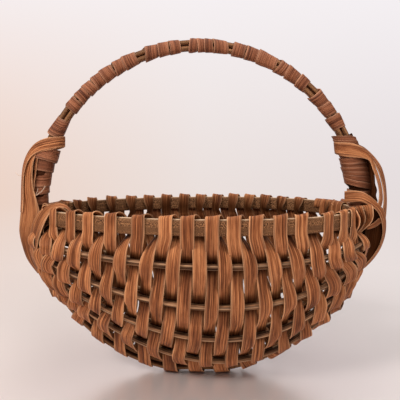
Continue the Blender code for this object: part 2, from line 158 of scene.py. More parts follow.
def at_pixel(column, row, depth):
    """The point seen at a pixel of the photograph, at a depth behind the hoop's plane."""
    distance = depth - CAMERA_PLACE.y
    x = (column - PHOTO_MIDDLE_COLUMN) * distance / LENS_PIXELS
    z = CAMERA_PLACE.z - (row - HORIZON_ROW) * distance / LENS_PIXELS
    return Vector((x, depth, z))


def mirrored(vector):
    return Vector((vector.x, -vector.y, vector.z))


def from_middle(point):
    """The way from the middle of the basket's inside to a point of its sides."""
    return point - Vector((point.x * MIDDLE_FOLLOW_SHARE, 0.0, HOOP_CENTRE_HEIGHT))


def mix(start, end, share):
    return start + (end - start) * share


def ease(share):
    """Rises from 0 to 1 with level ends."""
    share = min(max(share, 0.0), 1.0)
    return share * share * (3 - 2 * share)


def power(value, exponent):
    return math.copysign(abs(value) ** exponent, value)


def wander(*place):
    """Smooth noise between -1 and 1 at a place."""
    return noise.noise(Vector(place))


def full_turn(count):
    return [2 * math.pi * step / count for step in range(count)]


def bisected(low, high, is_below):
    """Where a test of the values from low to high turns from true to false."""
    for _ in range(BISECTIONS):
        middle = (low + high) / 2
        if is_below(middle):
            low = middle
        else:
            high = middle
    return (low + high) / 2


def curve_point(a, b, c, d, t):
    return 0.5 * (
        2 * b
        + (c - a) * t
        + (2 * a - 5 * b + 4 * c - d) * t * t
        + (3 * b - a - 3 * c + d) * t * t * t
    )


def smooth_path(values, steps):
    """A smooth run of values through the given ones, with as many steps on each span."""
    padded = [2 * values[0] - values[1], *values, 2 * values[-1] - values[-2]]
    spans = len(values) - 1
    path = []
    for step in range(steps + 1):
        position = spans * step / steps
        span = min(int(position), spans - 1)
        path.append(curve_point(*padded[span : span + 4], position - span))
    return path


class Line:
    """A polyline that can be asked for its point and direction at a share of its length."""

    def __init__(self, points):
        self.points = points
        self.lengths = [0.0]
        for start, end in zip(points, points[1:]):
            self.lengths.append(self.lengths[-1] + (end - start).length)

    def at(self, share):
        distance = min(max(share, 0.0), 1.0) * self.lengths[-1]
        place = bisect_right(self.lengths, distance, 0, len(self.lengths) - 1) - 1
        start, end = self.lengths[place : place + 2]
        return self.points[place].lerp(self.points[place + 1], (distance - start) / (end - start))

    def along(self, share):
        half = SPLINT_WIDTH / 2 / self.lengths[-1]
        return (self.at(share + half) - self.at(share - half)).normalized()

    def shares_at(self, columns):
        """Share at which the line is seen in each row's column of the photograph."""
        shares = {}
        for row, column in columns.items():
            shares[row] = bisected(0.0, 1.0, lambda share: pixel_column(self.at(share)) < column)
        return shares


def hoop_point(angle, offset):
    """Point of the upright hoop, offset outward from the seam of its rods."""
    x = (HOOP_RADIUS + offset) * math.cos(angle)
    z = max((HOOP_RADIUS + offset) * math.sin(angle), -(KEEL_DEPTH + offset))
    return Vector((x, 0.0, HOOP_CENTRE_HEIGHT + z))


def rim_plan(turn, half_length, half_width):
    x = -half_length * math.cos(turn) + PLAN_SHIFT * math.sin(turn) ** 2
    return Vector((x, -half_width * math.sin(turn), 0.0))


def rim_points():
    middle = UP * RIM_MIDDLE_HEIGHT
    turns = full_turn(RIM_STEPS)
    return [rim_plan(turn, RIM_HALF_LENGTH, MOUTH_HALF_WIDTH) + middle for turn in turns]


def rib_points(index):
    """Centre line of a front rib, from its left tip to its right tip."""
    tip_depth = RIB_TIP_DEPTH_SHARES[index] * KEEL_DEPTH
    middle_depth = RIB_DEPTH_SHARES[index] * KEEL_DEPTH
    tip_width = RIB_TIP_WIDTH_SHARES[index] * MOUTH_HALF_WIDTH
    middle_width = RIB_WIDTH_SHARES[index] * MOUTH_HALF_WIDTH
    half_length = math.sqrt(HOOP_RADIUS**2 - tip_depth**2)
    points = []
    for step in range(RIB_STEPS + 1):
        turn = math.pi * step / RIB_STEPS
        point = rim_plan(turn, half_length, middle_width - tip_width)
        point.y -= tip_width
        point.z = HOOP_CENTRE_HEIGHT - mix(tip_depth, middle_depth, math.sin(turn) ** 2)
        points.append(point)
    return points


def make_lines():
    """The lines that the rows cross on each half, all running from left to right."""
    rim = rim_points()[: RIM_STEPS // 2 + 1]
    ribs = [rib_points(index) for index in range(len(RIB_WIDTH_SHARES))]
    half = HOOP_STEPS // 2
    keel = [hoop_point(math.pi * (1 + step / half), 0.0) for step in range(half + 1)]
    front = [rim, *ribs, keel]
    back = [[mirrored(point) for point in points] for points in front]
    return {"front": [Line(points) for points in front], "back": [Line(points) for points in back]}


# Meshes.


def linked(name, data):
    """A new object in the scene."""
    obj = bpy.data.objects.new(name, data)
    bpy.context.scene.collection.objects.link(obj)
    return obj


def smooth_mesh(name, vertices, faces, material):
    mesh = bpy.data.meshes.new(name)
    mesh.from_pydata(vertices, [], faces)
    mesh.update()
    mesh.polygons.foreach_set("use_smooth", [True] * len(faces))
    mesh.materials.append(material)
    return linked(name, mesh)


def finish_piece(obj, nodes):
    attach(obj, "root")
    if nodes:
        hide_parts(*nodes)


def skin(name, rings, values, look, nodes, cyclic=False):
    """A closed surface over rings of points. The values of a point are its place along and
    across the grain, how near it is to an edge, and how much painted shade darkens it."""
    size = len(rings[0])
    count = len(rings)
    faces = []
    for ring in range(count if cyclic else count - 1):
        here = ring * size
        ahead = (ring + 1) % count * size
        for side in range(size):
            after = (side + 1) % size
            faces.append((here + side, here + after, ahead + after, ahead + side))
    if not cyclic:
        faces.append(tuple(range(size))[::-1])
        faces.append(tuple(range((count - 1) * size, count * size)))
    obj = smooth_mesh(name, [point for ring in rings for point in ring], faces, materials[look])
    grains, edges, painted_shades = zip(*values)
    grain = obj.data.attributes.new("grain", "FLOAT_VECTOR", "POINT")
    grain.data.foreach_set("vector", [part for place in grains for part in place])
    for key, shares in (("edge", edges), ("painted_shade", painted_shades)):
        obj.data.attributes.new(key, "FLOAT", "POINT").data.foreach_set("value", shares)
    finish_piece(obj, nodes)


# Places across a band, from edge to edge, and how full its thickness is there.
BAND_PLACES = (-1.0, -0.94, -0.76, -0.57, -0.38, -0.19, 0.0, 0.19, 0.38, 0.57, 0.76, 0.94, 1.0)
BAND_FULLNESS = (0.30, 0.85, *[1.0] * 9, 0.85, 0.30)
RIDGE_HEIGHT = 0.00022
RIDGE_PER_METRE = 420.0
RIDGE_RUN_PER_METRE = 9.0
EDGE_WAVE_SHARE = 0.05
EDGE_WAVE_PER_METRE = 60.0
CUP_HEIGHT = 0.00035
CUP_PER_METRE = 30.0
# Painted shade on faces that look into the basket, deepening over this drop below the rim.
INNER_FACE_PAINTED_SHADE = 0.62
INNER_PAINTED_SHADE_RUN = 0.022


def inner_painted_shade(point, direction):
    """Painted shade on a face that looks into the basket."""
    away = from_middle(point)
    if away.length < SPLINT_WIDTH:
        return 0.0
    depth = ease((RIM_MIDDLE_HEIGHT - point.z) / INNER_PAINTED_SHADE_RUN)
    return INNER_FACE_PAINTED_SHADE * depth * ease(-direction.dot(away.normalized()) * 2)


def band_ring(station, tangent, run, thickness, seed, shade_inner_faces, square):
    """The points of one cross section, with their grain places, edge and painted shade shares."""
    centre, across, half, painted_shade = station
    if square:
        across = (across - tangent * tangent.dot(across)).normalized()
    normal = tangent.cross(across).normalized()
    wave = run * EDGE_WAVE_PER_METRE
    left = half * (1 + EDGE_WAVE_SHARE * wander(wave, seed, 0.0))
    right = half * (1 + EDGE_WAVE_SHARE * wander(wave, seed, seed))
    cup = CUP_HEIGHT * wander(run * CUP_PER_METRE, 0.0, seed)
    top, bottom = [], []
    top_painted_shade = bottom_painted_shade = painted_shade
    # Faces that look into the basket get painted shade.
    if shade_inner_faces:
        top_painted_shade = max(painted_shade, inner_painted_shade(centre, normal))
        bottom_painted_shade = max(painted_shade, inner_painted_shade(centre, -normal))
    for place, fullness in zip(BAND_PLACES, BAND_FULLNESS):
        side = place * (left if place < 0 else right)
        lift = cup * (1 - place * place)
        ridge = RIDGE_HEIGHT * wander(side * RIDGE_PER_METRE, run * RIDGE_RUN_PER_METRE, seed)
        body = thickness / 2 * fullness
        middle = centre + across * side
        grain = (run, side, seed)
        top.append((middle + normal * (lift + body + ridge), grain, abs(place), top_painted_shade))
        bottom.append((middle + normal * (lift - body + ridge), grain, abs(place), bottom_painted_shade))
    return top + bottom[::-1]


def band(name, stations, thickness, look, seed, nodes=(), shade_inner_faces=False, square=True):
    """A flat splint along its stations: centre, direction of the width, half the width
    and painted shade. A square one keeps its width square to its run."""
    rings, values = [], []
    run = 0.0
    last = len(stations) - 1
    for index, station in enumerate(stations):
        before = stations[max(index - 1, 0)][0]
        after = stations[min(index + 1, last)][0]
        tangent = (after - before).normalized()
        ring = band_ring(station, tangent, run, thickness, seed, shade_inner_faces, square)
        rings.append([spot[0] for spot in ring])
        values += [spot[1:] for spot in ring]
        run += (after - station[0]).length
    skin(name, rings, values, look, nodes)


def smooth_stations(stations, steps):
    """Finer stations on a smooth path through the given ones."""
    return list(zip(*[smooth_path(column, steps) for column in zip(*stations)]))


# Materials.


def tone(red, green, blue):
    """A colour as seen on a screen, 0 to 255, in linear values."""
    linear = []
    for value in (red, green, blue):
        share = value / 255
        linear.append(share / 12.92 if share <= 0.04045 else ((share + 0.055) / 1.055) ** 2.4)
    return (*linear, 1.0)


def new_material(name):
    material = bpy.data.materials.new(name)
    material.use_nodes = True
    tree = material.node_tree
    return material, tree, tree.nodes["Principled BSDF"]


def add_node(tree, kind, settings=(), **values):
    """A node with its settings, its inputs set or linked by name or by number."""
    node = tree.nodes.new(kind)
    for key, value in dict(settings).items():
        setattr(node, key, value)
    for key, value in values.items():
        socket = node.inputs[int(key[1:])] if key[1:].isdigit() else node.inputs[key]
        if isinstance(value, bpy.types.NodeSocket):
            tree.links.new(value, socket)
        else:
            socket.default_value = value
    return node


def maths(tree, operation, first, second):
    made = add_node(tree, "ShaderNodeMath", {"operation": operation}, _0=first, _1=second)
    return made.outputs[0]


def weighted(tree, values, weights):
    """The sum of the values, each times its weight."""
    total, *parts = [maths(tree, "MULTIPLY", *pair) for pair in zip(values, weights)]
    for part in parts:
        total = maths(tree, "ADD", total, part)
    return total


def mapped(tree, value, low, high, first, last, kind="LINEAR"):
    """The value, with the range from low to high laid on the one from first to last."""
    settings = {"interpolation_type": kind}
    values = {"_0": value, "_1": low, "_2": high, "_3": first, "_4": last}
    return add_node(tree, "ShaderNodeMapRange", settings, **values).outputs[0]


def colour_ramp(tree, factor, places, colours):
    ramp = add_node(tree, "ShaderNodeValToRGB", Fac=factor)
    elements = ramp.color_ramp.elements
    elements.new(places[1])
    for element, place, colour in zip(elements, places, colours):
        element.position = place
        element.color = colour
    return ramp.outputs["Color"]


def colour_mix(tree, factor, first, second):
    settings = {"data_type": "RGBA"}
    return add_node(tree, "ShaderNodeMix", settings, _0=factor, _6=first, _7=second).outputs[2]


# Patterns in the wood: waves per metre along and across the grain, detail and shift.
PATTERNS = {
    "fibre": (45.0, 2400.0, 3.0, 0.0),
    "streak": (12.0, 900.0, 2.0, 5.0),
    "patch": (38.0, 150.0, 2.0, 11.0),
    "wide": (9.0, 10.0, 1.0, 23.0),
    "groove": (7.0, 520.0, 1.0, 57.0),
    "pore": (200.0, 1700.0, 2.0, 3.0),
}
BARK_SPOTS = (1100.0, 1500.0, 4.0, 41.0)
PATTERN_SEED_STEP = 37.0
PATTERN_ROUGHNESS = 0.62
TONE_WEIGHTS = (0.25, 0.40, 0.18, 0.17)
TONE_PLACES = (0.43, 0.495, 0.56)
MOTTLE_PLACES = (0.42, 0.50, 0.59)
MOTTLE_SHARE = 0.8
PALE_EDGE_POWER = 6.0
BARK_TOP_HIGHLIGHT_POWER = 4.0
HEIGHT_WEIGHTS = (0.35, 1.0, -0.35)
GROOVE_REACH = 0.035
PORE_RANGE = (0.60, 0.70)
PORE_DARKNESS = 0.5
# How dark the painted shade tone is, as a share of the dark tone.
SHADOW_PAINT_SHARE = 0.28
ROUGHNESS_SPREAD = 0.30
SHEEN = 0.2
RELIEF = 0.0005
WINDING_RELIEF = 0.0004
# The dark, middle, light and pale-edge tone of each kind. The pale edge is wear on
# splints, windings and rods, and a painted highlight on the rim's top and along the ribs.
SPLINT_TONES = ((92, 46, 20), (156, 90, 51), (210, 138, 88), (246, 190, 142))
WINDING_TONES = ((88, 46, 28), (134, 78, 50), (170, 108, 76), (216, 162, 128))
ROD_TONES = ((62, 34, 18), (112, 66, 38), (158, 104, 64), (196, 144, 98))
FIBRE_TONES = ((186, 142, 112), (232, 200, 172), (246, 226, 206), (246, 226, 206))
RIM_TONES = ((46, 26, 13), (110, 69, 40), (178, 126, 84), (244, 208, 170))
RIB_TONES = ((56, 33, 20), (124, 82, 54), (184, 132, 92), (228, 182, 140))


def pattern(tree, grain, along, across, detail, shift):
    """Noise stretched along the grain."""
    moved = add_node(
        tree, "ShaderNodeVectorMath", {"operation": "MULTIPLY_ADD"},
        _0=grain, _1=(along, across, PATTERN_SEED_STEP), _2=(shift, 0.0, 0.0),
    )
    made = add_node(
        tree, "ShaderNodeTexNoise",
        Vector=moved.outputs[0], Scale=1.0, Detail=detail, Roughness=PATTERN_ROUGHNESS,
    )
    return made.outputs["Fac"]


def wood(name, tones, pale_edge_share=0.5, rough=0.60, relief=RELIEF, split=0.7, is_bark=False):
    """Split wood: fibres, grooves and patches along the grain, dark flecks, pale edges and
    painted shade in its recesses. The pale edges are wear on splints, windings and rods,
    and painted highlights on the rim's top and along the ribs. Bark has fine mottled
    flecks and a pale upper edge that is a painted highlight from above."""
    dark, middle, light, pale_edge_tone = [tone(*colour) for colour in tones]
    material, tree, shader = new_material(name)
    grain, edge, painted_shade = [
        add_node(tree, "ShaderNodeAttribute", {"attribute_name": key}).outputs[output]
        for key, output in (("grain", "Vector"), ("edge", "Fac"), ("painted_shade", "Fac"))
    ]
    fibre, streak, patch, wide, bands, pores = [
        pattern(tree, grain, *waves) for waves in PATTERNS.values()
    ]
    shade = weighted(tree, (fibre, streak, patch, wide), TONE_WEIGHTS)
    colour = colour_ramp(tree, shade, TONE_PLACES, (dark, middle, light))
    bands = maths(tree, "ABSOLUTE", maths(tree, "SUBTRACT", bands, 0.5), 0.0)
    groove = mapped(tree, bands, 0.0, GROOVE_REACH, split, 0.0)
    colour = colour_mix(tree, groove, colour, dark)
    # Pale edges: wear on splints, windings and rods, and painted highlights on the rim and ribs.
    pale_edge = maths(tree, "POWER", edge, PALE_EDGE_POWER)
    pale_edge = maths(tree, "MULTIPLY", pale_edge, maths(tree, "MULTIPLY", streak, 2 * pale_edge_share))
    colour = colour_mix(tree, pale_edge, colour, pale_edge_tone)
    pores = mapped(tree, pores, *PORE_RANGE, 0.0, PORE_DARKNESS)
    colour = colour_mix(tree, pores, colour, dark)
    # Painted shade darkens the colour towards a deep tone.
    shadow_paint = tuple(value * SHADOW_PAINT_SHARE for value in dark[:3]) + (1.0,)
    colour = colour_mix(tree, painted_shade, colour, shadow_paint)
    if is_bark:
        spots = pattern(tree, grain, *BARK_SPOTS)
        mottle = colour_ramp(tree, spots, MOTTLE_PLACES, (dark, middle, light))
        colour = colour_mix(tree, MOTTLE_SHARE, colour, mottle)
        # The bark's pale upper edge is a painted highlight from above; painted shade then darkens
        # the colour again.
        colour = colour_mix(tree, maths(tree, "POWER", edge, BARK_TOP_HIGHLIGHT_POWER), colour, pale_edge_tone)
        colour = colour_mix(tree, painted_shade, colour, dark)
    tree.links.new(colour, shader.inputs["Base Color"])
    roughness = maths(tree, "MULTIPLY", streak, ROUGHNESS_SPREAD)
    roughness = maths(tree, "ADD", roughness, rough - ROUGHNESS_SPREAD / 2)
    tree.links.new(roughness, shader.inputs["Roughness"])
    sheen = maths(tree, "MULTIPLY", maths(tree, "SUBTRACT", 1.0, painted_shade), SHEEN)
    tree.links.new(sheen, shader.inputs["Specular IOR Level"])
    height = weighted(tree, (fibre, streak, groove), HEIGHT_WEIGHTS)
    bump = add_node(tree, "ShaderNodeBump", Strength=1.0, Distance=relief, Height=height)
    tree.links.new(bump.outputs["Normal"], shader.inputs["Normal"])
    return material


def make_materials():
    return {
        "splint": wood("splint_wood", SPLINT_TONES, split=0.65),
        "winding": wood("winding_wood", WINDING_TONES, relief=WINDING_RELIEF, split=0.30),
        "rod": wood("rod_wood", ROD_TONES, rough=0.55),
        "fibre": wood("fibre_wood", FIBRE_TONES),
        "rim": wood("rim_wood", RIM_TONES, pale_edge_share=1.0, rough=0.66, split=0.1, is_bark=True),
        "rib": wood("rib_wood", RIB_TONES, pale_edge_share=1.0),
    }


# The weave.


def formula_share(row, level):
    place = row / LAST_ROW
    place += ROW_SPREAD_SHARES[level] * math.sin(math.pi * place) / math.pi
    return 0.5 + (0.5 - ROW_MARGIN_SHARES[level]) * place


def share_table(known, level):
    """Share of the line at every row, between the rows that are known."""
    for row in (-LAST_ROW, LAST_ROW):
        known.setdefault(row, formula_share(row, level))
    rows = sorted(known)
    table = {}
    for row in range(-LAST_ROW, LAST_ROW + 1):
        before = max(mark for mark in rows if mark <= row)
        after = min(mark for mark in rows if mark >= row)
        share = 0.0 if before == after else (row - before) / (after - before)
        table[row] = mix(known[before], known[after], share)
    for beyond, reach in END_ROW_REACH_SHARES.items():
        table[LAST_ROW + beyond] = mix(table[LAST_ROW], 1.0, reach)
        table[-LAST_ROW - beyond] = mix(table[-LAST_ROW], 0.0, reach)
    return table


def make_row_shares():
    """Where each row crosses each line: from the photograph at the front, even with small
    irregularities at the back."""
    front = [
        share_table(line.shares_at(columns), level)
        for level, (line, columns) in enumerate(zip(lines["front"], FRONT_COLUMNS))
    ]
    back = [share_table(lines["back"][0].shares_at(BACK_RIM_COLUMNS), 0)]
    dice = random.Random(7)
    for level in range(1, KEEL_LEVEL):
        known = {}
        for row in range(-LAST_ROW, LAST_ROW + 1):
            known[row] = formula_share(row, level) + BACK_JITTER_SHARE * dice.uniform(-1, 1)
            aside = back[0][row] - formula_share(row, 0)
            known[row] += aside * BACK_FOLLOW_SHARES[level - 1]
        back.append(share_table(known, level))
    return {"front": front, "back": [*back, front[KEEL_LEVEL]]}


def crossing(side, row, level):
    """Centre of a crossing, with the direction of the line crossed."""
    line = lines[side][level]
    share = row_shares[side][level][row]
    point = line.at(share)
    if level == 0:
        point = point - UP * RIM_HEIGHT / 2
    return point, line.along(share)


def outward(side, row, level):
    """The direction away from the basket's inside at a crossing."""
    point, along = crossing(side, row, level)
    if level == KEEL_LEVEL:
        flat = abs(along.z) < abs(along.x) * KEEL_FLAT / HOOP_RADIUS
        return -UP if flat else (point - HOOP_CENTRE).normalized()
    down = -UP
    if level > 0:
        down = crossing(side, row, level + 1)[0] - crossing(side, row, level - 1)[0]
    normal = along.cross(down).normalized()
    return normal if normal.dot(from_middle(point)) > 0 else -normal


# Towards the ears a strand twists less under the rim, is pinched more and lifts its edge,
# and its turns over the back rim get low and narrow: the first row of each change, and the
# number of rows that it takes.
TWIST_ROWS = (3, 6)
PINCH_ROWS = (3, 7)
LIFT_ROWS = (6, 5)
CLOSE_ROWS = (9, 4)
NARROW_FROM_ROW = 8
BESIDE_EAR_WIDTH_SHARE = 0.72
# Near the ends each row stands on its inner edge and shows its face to the front.
END_LIFT = math.radians(20)
END_PIVOT_SHARE = 0.9
# A strand is drawn narrow where it dips behind a line, most at the ends.
PINCH_SHARE = 0.08
END_PINCH_SHARE = 0.50
# Where it turns under the keel it is pressed flat and wide.
KEEL_SPREAD_SHARE = 0.24
KEEL_LIFT_SHARE = 0.3
UNDER_RIM_TWIST = math.radians(80)
END_UNDER_RIM_TWIST = math.radians(42)
UNDER_RIM_RUN_SHARE = 0.95
BACK_TWIST = math.radians(48)
TWIST_EDGE_INSET = 0.0015
MIDDLE_TILT = math.radians(11)
TILT_SPREAD = math.radians(9)
GREATEST_TILT = math.radians(26)
# Painted shade where a strand passes inside, behind a line: how dark, and where it starts and how
# far it runs, as shares of the stand.
INSIDE_PAINTED_SHADE = 0.86
PAINTED_SHADE_ONSET_SHARE = 0.10
PAINTED_SHADE_RUN_SHARE = 0.80
SIDE_SPREAD = 0.0006
DIP_EXPONENT = 1.7


def end_share(row, first, rows):
    return ease((abs(row) - first) / rows)


def row_width(row):
    if abs(row) > LAST_ROW:
        return SPLINT_WIDTH * BESIDE_EAR_WIDTH_SHARE
    share = min(1.0, max(0.0, (abs(row) - NARROW_FROM_ROW) / (LAST_ROW - NARROW_FROM_ROW)))
    return SPLINT_WIDTH * mix(1.0, END_ROW_WIDTH_SHARE, share)


def lean_side(row):
    """1 where the right edge stands out, at the left of the basket, and -1 at the right."""
    return max(-1.0, min(1.0, -(row + 1) / 2))


def under_rim_twist(side, row):
    """How far an inside row is turned where it comes out from under the rim."""
    if side == "back":
        return BACK_TWIST
    return mix(UNDER_RIM_TWIST, END_UNDER_RIM_TWIST, end_share(row, *TWIST_ROWS))


def turned(station, normal, side, angle, arm):
    """The station turned about a line beside its middle."""
    centre, across, half, painted_shade = station
    new = across * math.cos(angle) + normal * math.sin(angle) * side
    return centre + (across - new) * arm * side, new, half, painted_shade


def half_row(side, row, over, dice):
    """Stations of a row from the rim's bottom edge down to the keel."""
    half = row_width(row) / 2
    tilts = [MIDDLE_TILT + TILT_SPREAD * dice.uniform(-1, 1) for level in range(KEEL_LEVEL)]
    shifts = [SIDE_SPREAD * dice.uniform(-1, 1) for level in range(KEEL_LEVEL)]
    points, alongs = zip(*[crossing(side, row, level) for level in range(KEEL_LEVEL + 1)])
    normals = [outward(side, row, level) for level in range(KEEL_LEVEL + 1)]
    stands = [over * (-1) ** level * stand for level, stand in enumerate(STANDS)]
    beside = row + (1 if row < LAST_ROW else -1)
    pitches = []
    for level, point in enumerate(points):
        pitches.append((crossing(side, beside, level)[0] - point).length)
    path_points = [points[0] + UP * RIM_HEIGHT, *points, mirrored(points[-2])]
    lean = lean_side(row)
    ending = end_share(row, *LIFT_ROWS)
    pinch = mix(PINCH_SHARE, END_PINCH_SHARE, end_share(row, *PINCH_ROWS))
    stations = []
    for step in range(KEEL_LEVEL * LEVEL_STEPS + 1):
        level = min(step // LEVEL_STEPS, KEEL_LEVEL - 1)
        t = step / LEVEL_STEPS - level
        base = curve_point(*path_points[level : level + 4], t)
        swing = 0.5 - 0.5 * math.cos(math.pi * t)
        if stands[level] > 0:
            swing = swing**DIP_EXPONENT
        else:
            swing = 1 - (1 - swing) ** DIP_EXPONENT
        offset = mix(stands[level], stands[level + 1], swing)
        normal = mix(normals[level], normals[level + 1], t).normalized()
        along = mix(alongs[level], alongs[level + 1], t).normalized()
        bulge = math.sin(math.pi * t) ** 2
        centre = base + normal * offset + along * shifts[level] * bulge
        pitch = mix(pitches[level], pitches[level + 1], t) - SPLINT_LAP
        tilt = max(tilts[level], math.acos(min(1.0, pitch / (2 * half))))
        angle = min(tilt, GREATEST_TILT) * bulge
        if level == 0:
            angle = 0.0
            if over < 0:
                angle = under_rim_twist(side, row) * max(0.0, 1 - t / UNDER_RIM_RUN_SHARE)
        angle *= abs(lean) * (1 - ending)
        # Painted shade where the strand dips behind a line.
        painted_shade = INSIDE_PAINTED_SHADE * ease((-offset / RIB_STAND - PAINTED_SHADE_ONSET_SHARE) / PAINTED_SHADE_RUN_SHARE)
        below_rim = min(1.0, level + t)
        outness = ease(0.5 + offset / RIB_STAND / 2)
        by_keel = ease(level + t - KEEL_LEVEL + 1)
        wide = half * (1 - pinch * (1 - outness) * below_rim)
        wide *= 1 + KEEL_SPREAD_SHARE * outness * by_keel
        station = (centre, along, wide, painted_shade)
        station = turned(station, normal, lean or 1.0, angle, half - TWIST_EDGE_INSET)
        lift = END_LIFT * ending * outness * below_rim * mix(1.0, KEEL_LIFT_SHARE, by_keel)
        stations.append(turned(station, normal, lean or 1.0, -lift, wide * END_PIVOT_SHARE))
    return stations


# A turn over the rim: offset from its middle as a share of the wall's, height as a share of
# the rim's, share of the crest's height, and how far the strand has moved to the next row.
WRAP_PLACES = (
    (1.00, -0.50, 0.00, 0.00),
    (1.00, -0.15, 0.00, 0.00),
    (1.06, 0.26, 0.00, 0.01),
    (0.98, 0.50, 0.38, 0.03),
    (0.38, 0.50, 1.00, 0.09),
    (-0.60, 0.50, 0.80, 0.24),
    (-1.32, 0.45, 0.00, 0.44),
    (-1.36, 0.12, 0.00, 0.66),
    (-1.15, -0.22, 0.00, 0.90),
    (-1.00, -0.50, 0.00, 1.00),
)
CREST_HEIGHT = 0.0024
CREST_SPREAD = (0.75, 1.1)
CREST_LEAN = math.radians(9)
BACK_WAIST_SHARE = 0.26
CLOSE_CREST_SHARE = 0.7
CLOSE_WAIST_SHARE = 0.5
# Height, as a share of the rim's, below which the inside of a turn twists, and below which
# it is darkened with painted shade.
TWIST_HEIGHT_SHARES = {"front": 0.2, "back": 0.6}
PAINTED_SHADE_HEIGHT_SHARE = 0.9


def rim_turn(side, outer_row, inner_row, dice):
    """Stations over the rim, from the outside at one row to the inside at another."""
    line = lines[side][0]
    start, end = row_shares[side][0][outer_row], row_shares[side][0][inner_row]
    crest = CREST_HEIGHT * dice.uniform(*CREST_SPREAD)
    waist = 0.0
    table = WRAP_PLACES
    if side == "back":
        close = end_share(inner_row, *CLOSE_ROWS)
        crest *= 1 - CLOSE_CREST_SHARE * close
        waist = mix(BACK_WAIST_SHARE, CLOSE_WAIST_SHARE, close)
        table = [(-out, rise, top, 1 - moved) for out, rise, top, moved in WRAP_PLACES[::-1]]
    lean = lean_side(inner_row)
    places = []
    for out, rise, top, moved in table:
        share = mix(start, end, moved)
        point, along = line.at(share), line.along(share)
        normal = along.cross(UP).normalized()
        if normal.y * point.y < 0:
            normal = -normal
        centre = point + normal * RIM_STAND * out + UP * (RIM_HEIGHT * rise + crest * top)
        slope = CREST_LEAN * top * (1 if inner_row > outer_row else -1)
        across = along * math.cos(slope) + UP * math.sin(slope)
        half = mix(row_width(outer_row), row_width(inner_row), moved) / 2
        half *= 1 - waist * math.sin(math.pi * moved)
        twist = under_rim_twist(side, inner_row) * ease(-out) * abs(lean)
        twist *= ease(TWIST_HEIGHT_SHARES[side] - rise)
        # Painted shade on the part of the turn inside the rim.
        painted_shade = INSIDE_PAINTED_SHADE * ease(-out) * ease(PAINTED_SHADE_HEIGHT_SHARE - rise)
        station = (centre, across, half, painted_shade)
        places.append(turned(station, normal, lean or 1.0, twist, half - TWIST_EDGE_INSET))
    return smooth_stations(places, WRAP_STEPS)[1:-1]


def strand_stations(rows, dice):
    """Stations of one strand over its rows and the turns over the rim between them."""
    stations = []
    for row in rows:
        over = 1 if (row - LAST_ROW) % 2 == 0 else -1
        front = half_row("front", row, over, dice)
        back = half_row("back", row, over, dice)
        followed = row + 1 in row_shares["front"][0]
        if over > 0:
            stations += back + front[::-1][1:]
            if followed:
                stations += rim_turn("front", row, row + 1, dice)
        else:
            stations += front + back[::-1][1:]
            if followed:
                stations += rim_turn("back", row + 1, row, dice)[::-1]
    return stations


def make_strands():
    shortest, longer = divmod(ROW_COUNT, STRAND_COUNT)
    beyond = sorted(END_ROW_REACH_SHARES)
    strands = []
    start = -LAST_ROW
    for number in range(1, STRAND_COUNT + 1):
        end = start + shortest + (1 if number <= longer else 0)
        strands.append((f"woven_strand_{number}", range(start, end), [f"woven_splint_{number}"]))
        start = end
    strands.append(("left_end_strand", [-LAST_ROW - step for step in beyond[::-1]], []))
    strands.append(("right_end_strand", [LAST_ROW + step for step in beyond], []))
    dice = random.Random(11)
    for index, (name, rows, nodes) in enumerate(strands):
        # The end strands' grain starts one seed later.
        seed = index + (1.0 if nodes else 2.0)
        stations = strand_stations(rows, dice)
        band(name, stations, SPLINT_THICKNESS, "splint", seed, nodes, shade_inner_faces=True)


# Rim, ribs and hoop.

ROUND_POINTS = 16
# How square the sections of the rim and the rods are, across and up.
RIM_SECTION_POWERS = (0.45, 0.55)
ROD_SECTION_POWERS = (0.85, 0.8)
RIM_WAVE_SHARE = 0.04
RIM_WAVE_PER_METRE = 40
RIM_WAVE_START = 3.0
# The groove along a rib, darkened with painted shade, the two pale lines beside it,
# which are painted highlights, and how its thickness wanders.
RIB_GROOVE_SHARE = 0.2
RIB_GROOVE_TURN = 0.42
RIB_GROOVE_PAINTED_SHADE = 0.55
RIB_HIGHLIGHT_TURN = 0.9
RIB_TAPER_SHARE = 0.25
RIB_WAVE_SHARE = 0.05
RIB_WAVE_PER_METRE = 45
RIB_WAVE_STEP = 3.0


def swept(names, points, frames, section, girth, look, seed, cyclic=True):
    """A rod along the points. The section gives offsets along both directions of a frame,
    an edge share and painted shade, for a share of the length and a turn round it. The
    names are those of the piece, its slot, which is not used, and its node."""
    rings, values = [], []
    run = 0.0
    for index, (point, (first, second)) in enumerate(zip(points, frames)):
        ring = []
        for turn in full_turn(ROUND_POINTS):
            aside, up, edge, painted_shade = section(index / (len(points) - 1), turn, run)
            offset = first * aside + second * up
            ring.append(point + offset)
            # Faces that look into the basket get painted shade.
            painted_shade = max(painted_shade, inner_painted_shade(point, offset.normalized()))
            values.append(((run, girth * turn / (2 * math.pi), seed), edge, painted_shade))
        rings.append(ring)
        run += (points[(index + 1) % len(points)] - point).length
    name, slot, node = names
    skin(name, rings, values, look, [node], cyclic)


def make_rim():
    points = rim_points()
    frames = []
    for index in range(len(points)):
        along = (points[(index + 1) % len(points)] - points[index - 1]).normalized()
        frames.append((along.cross(UP).normalized(), UP))

    def section(share, turn, run):
        wave = RIM_WAVE_SHARE * wander(run * RIM_WAVE_PER_METRE, RIM_WAVE_START, 0.0)
        aside = RIM_THICKNESS / 2 * power(math.cos(turn), RIM_SECTION_POWERS[0])
        up = RIM_HEIGHT / 2 * power(math.sin(turn), RIM_SECTION_POWERS[1]) * (1 + wave)
        # The pale edge along the rim's top is a painted highlight from above.
        return aside, up, max(0.0, math.sin(turn)) ** 3, 0.0

    girth = 2 * (RIM_HEIGHT + RIM_THICKNESS)
    names = ("rim_strip", "rim_strip", "rim_hoop")
    swept(names, points, frames, section, girth, "rim", seed=20.0)


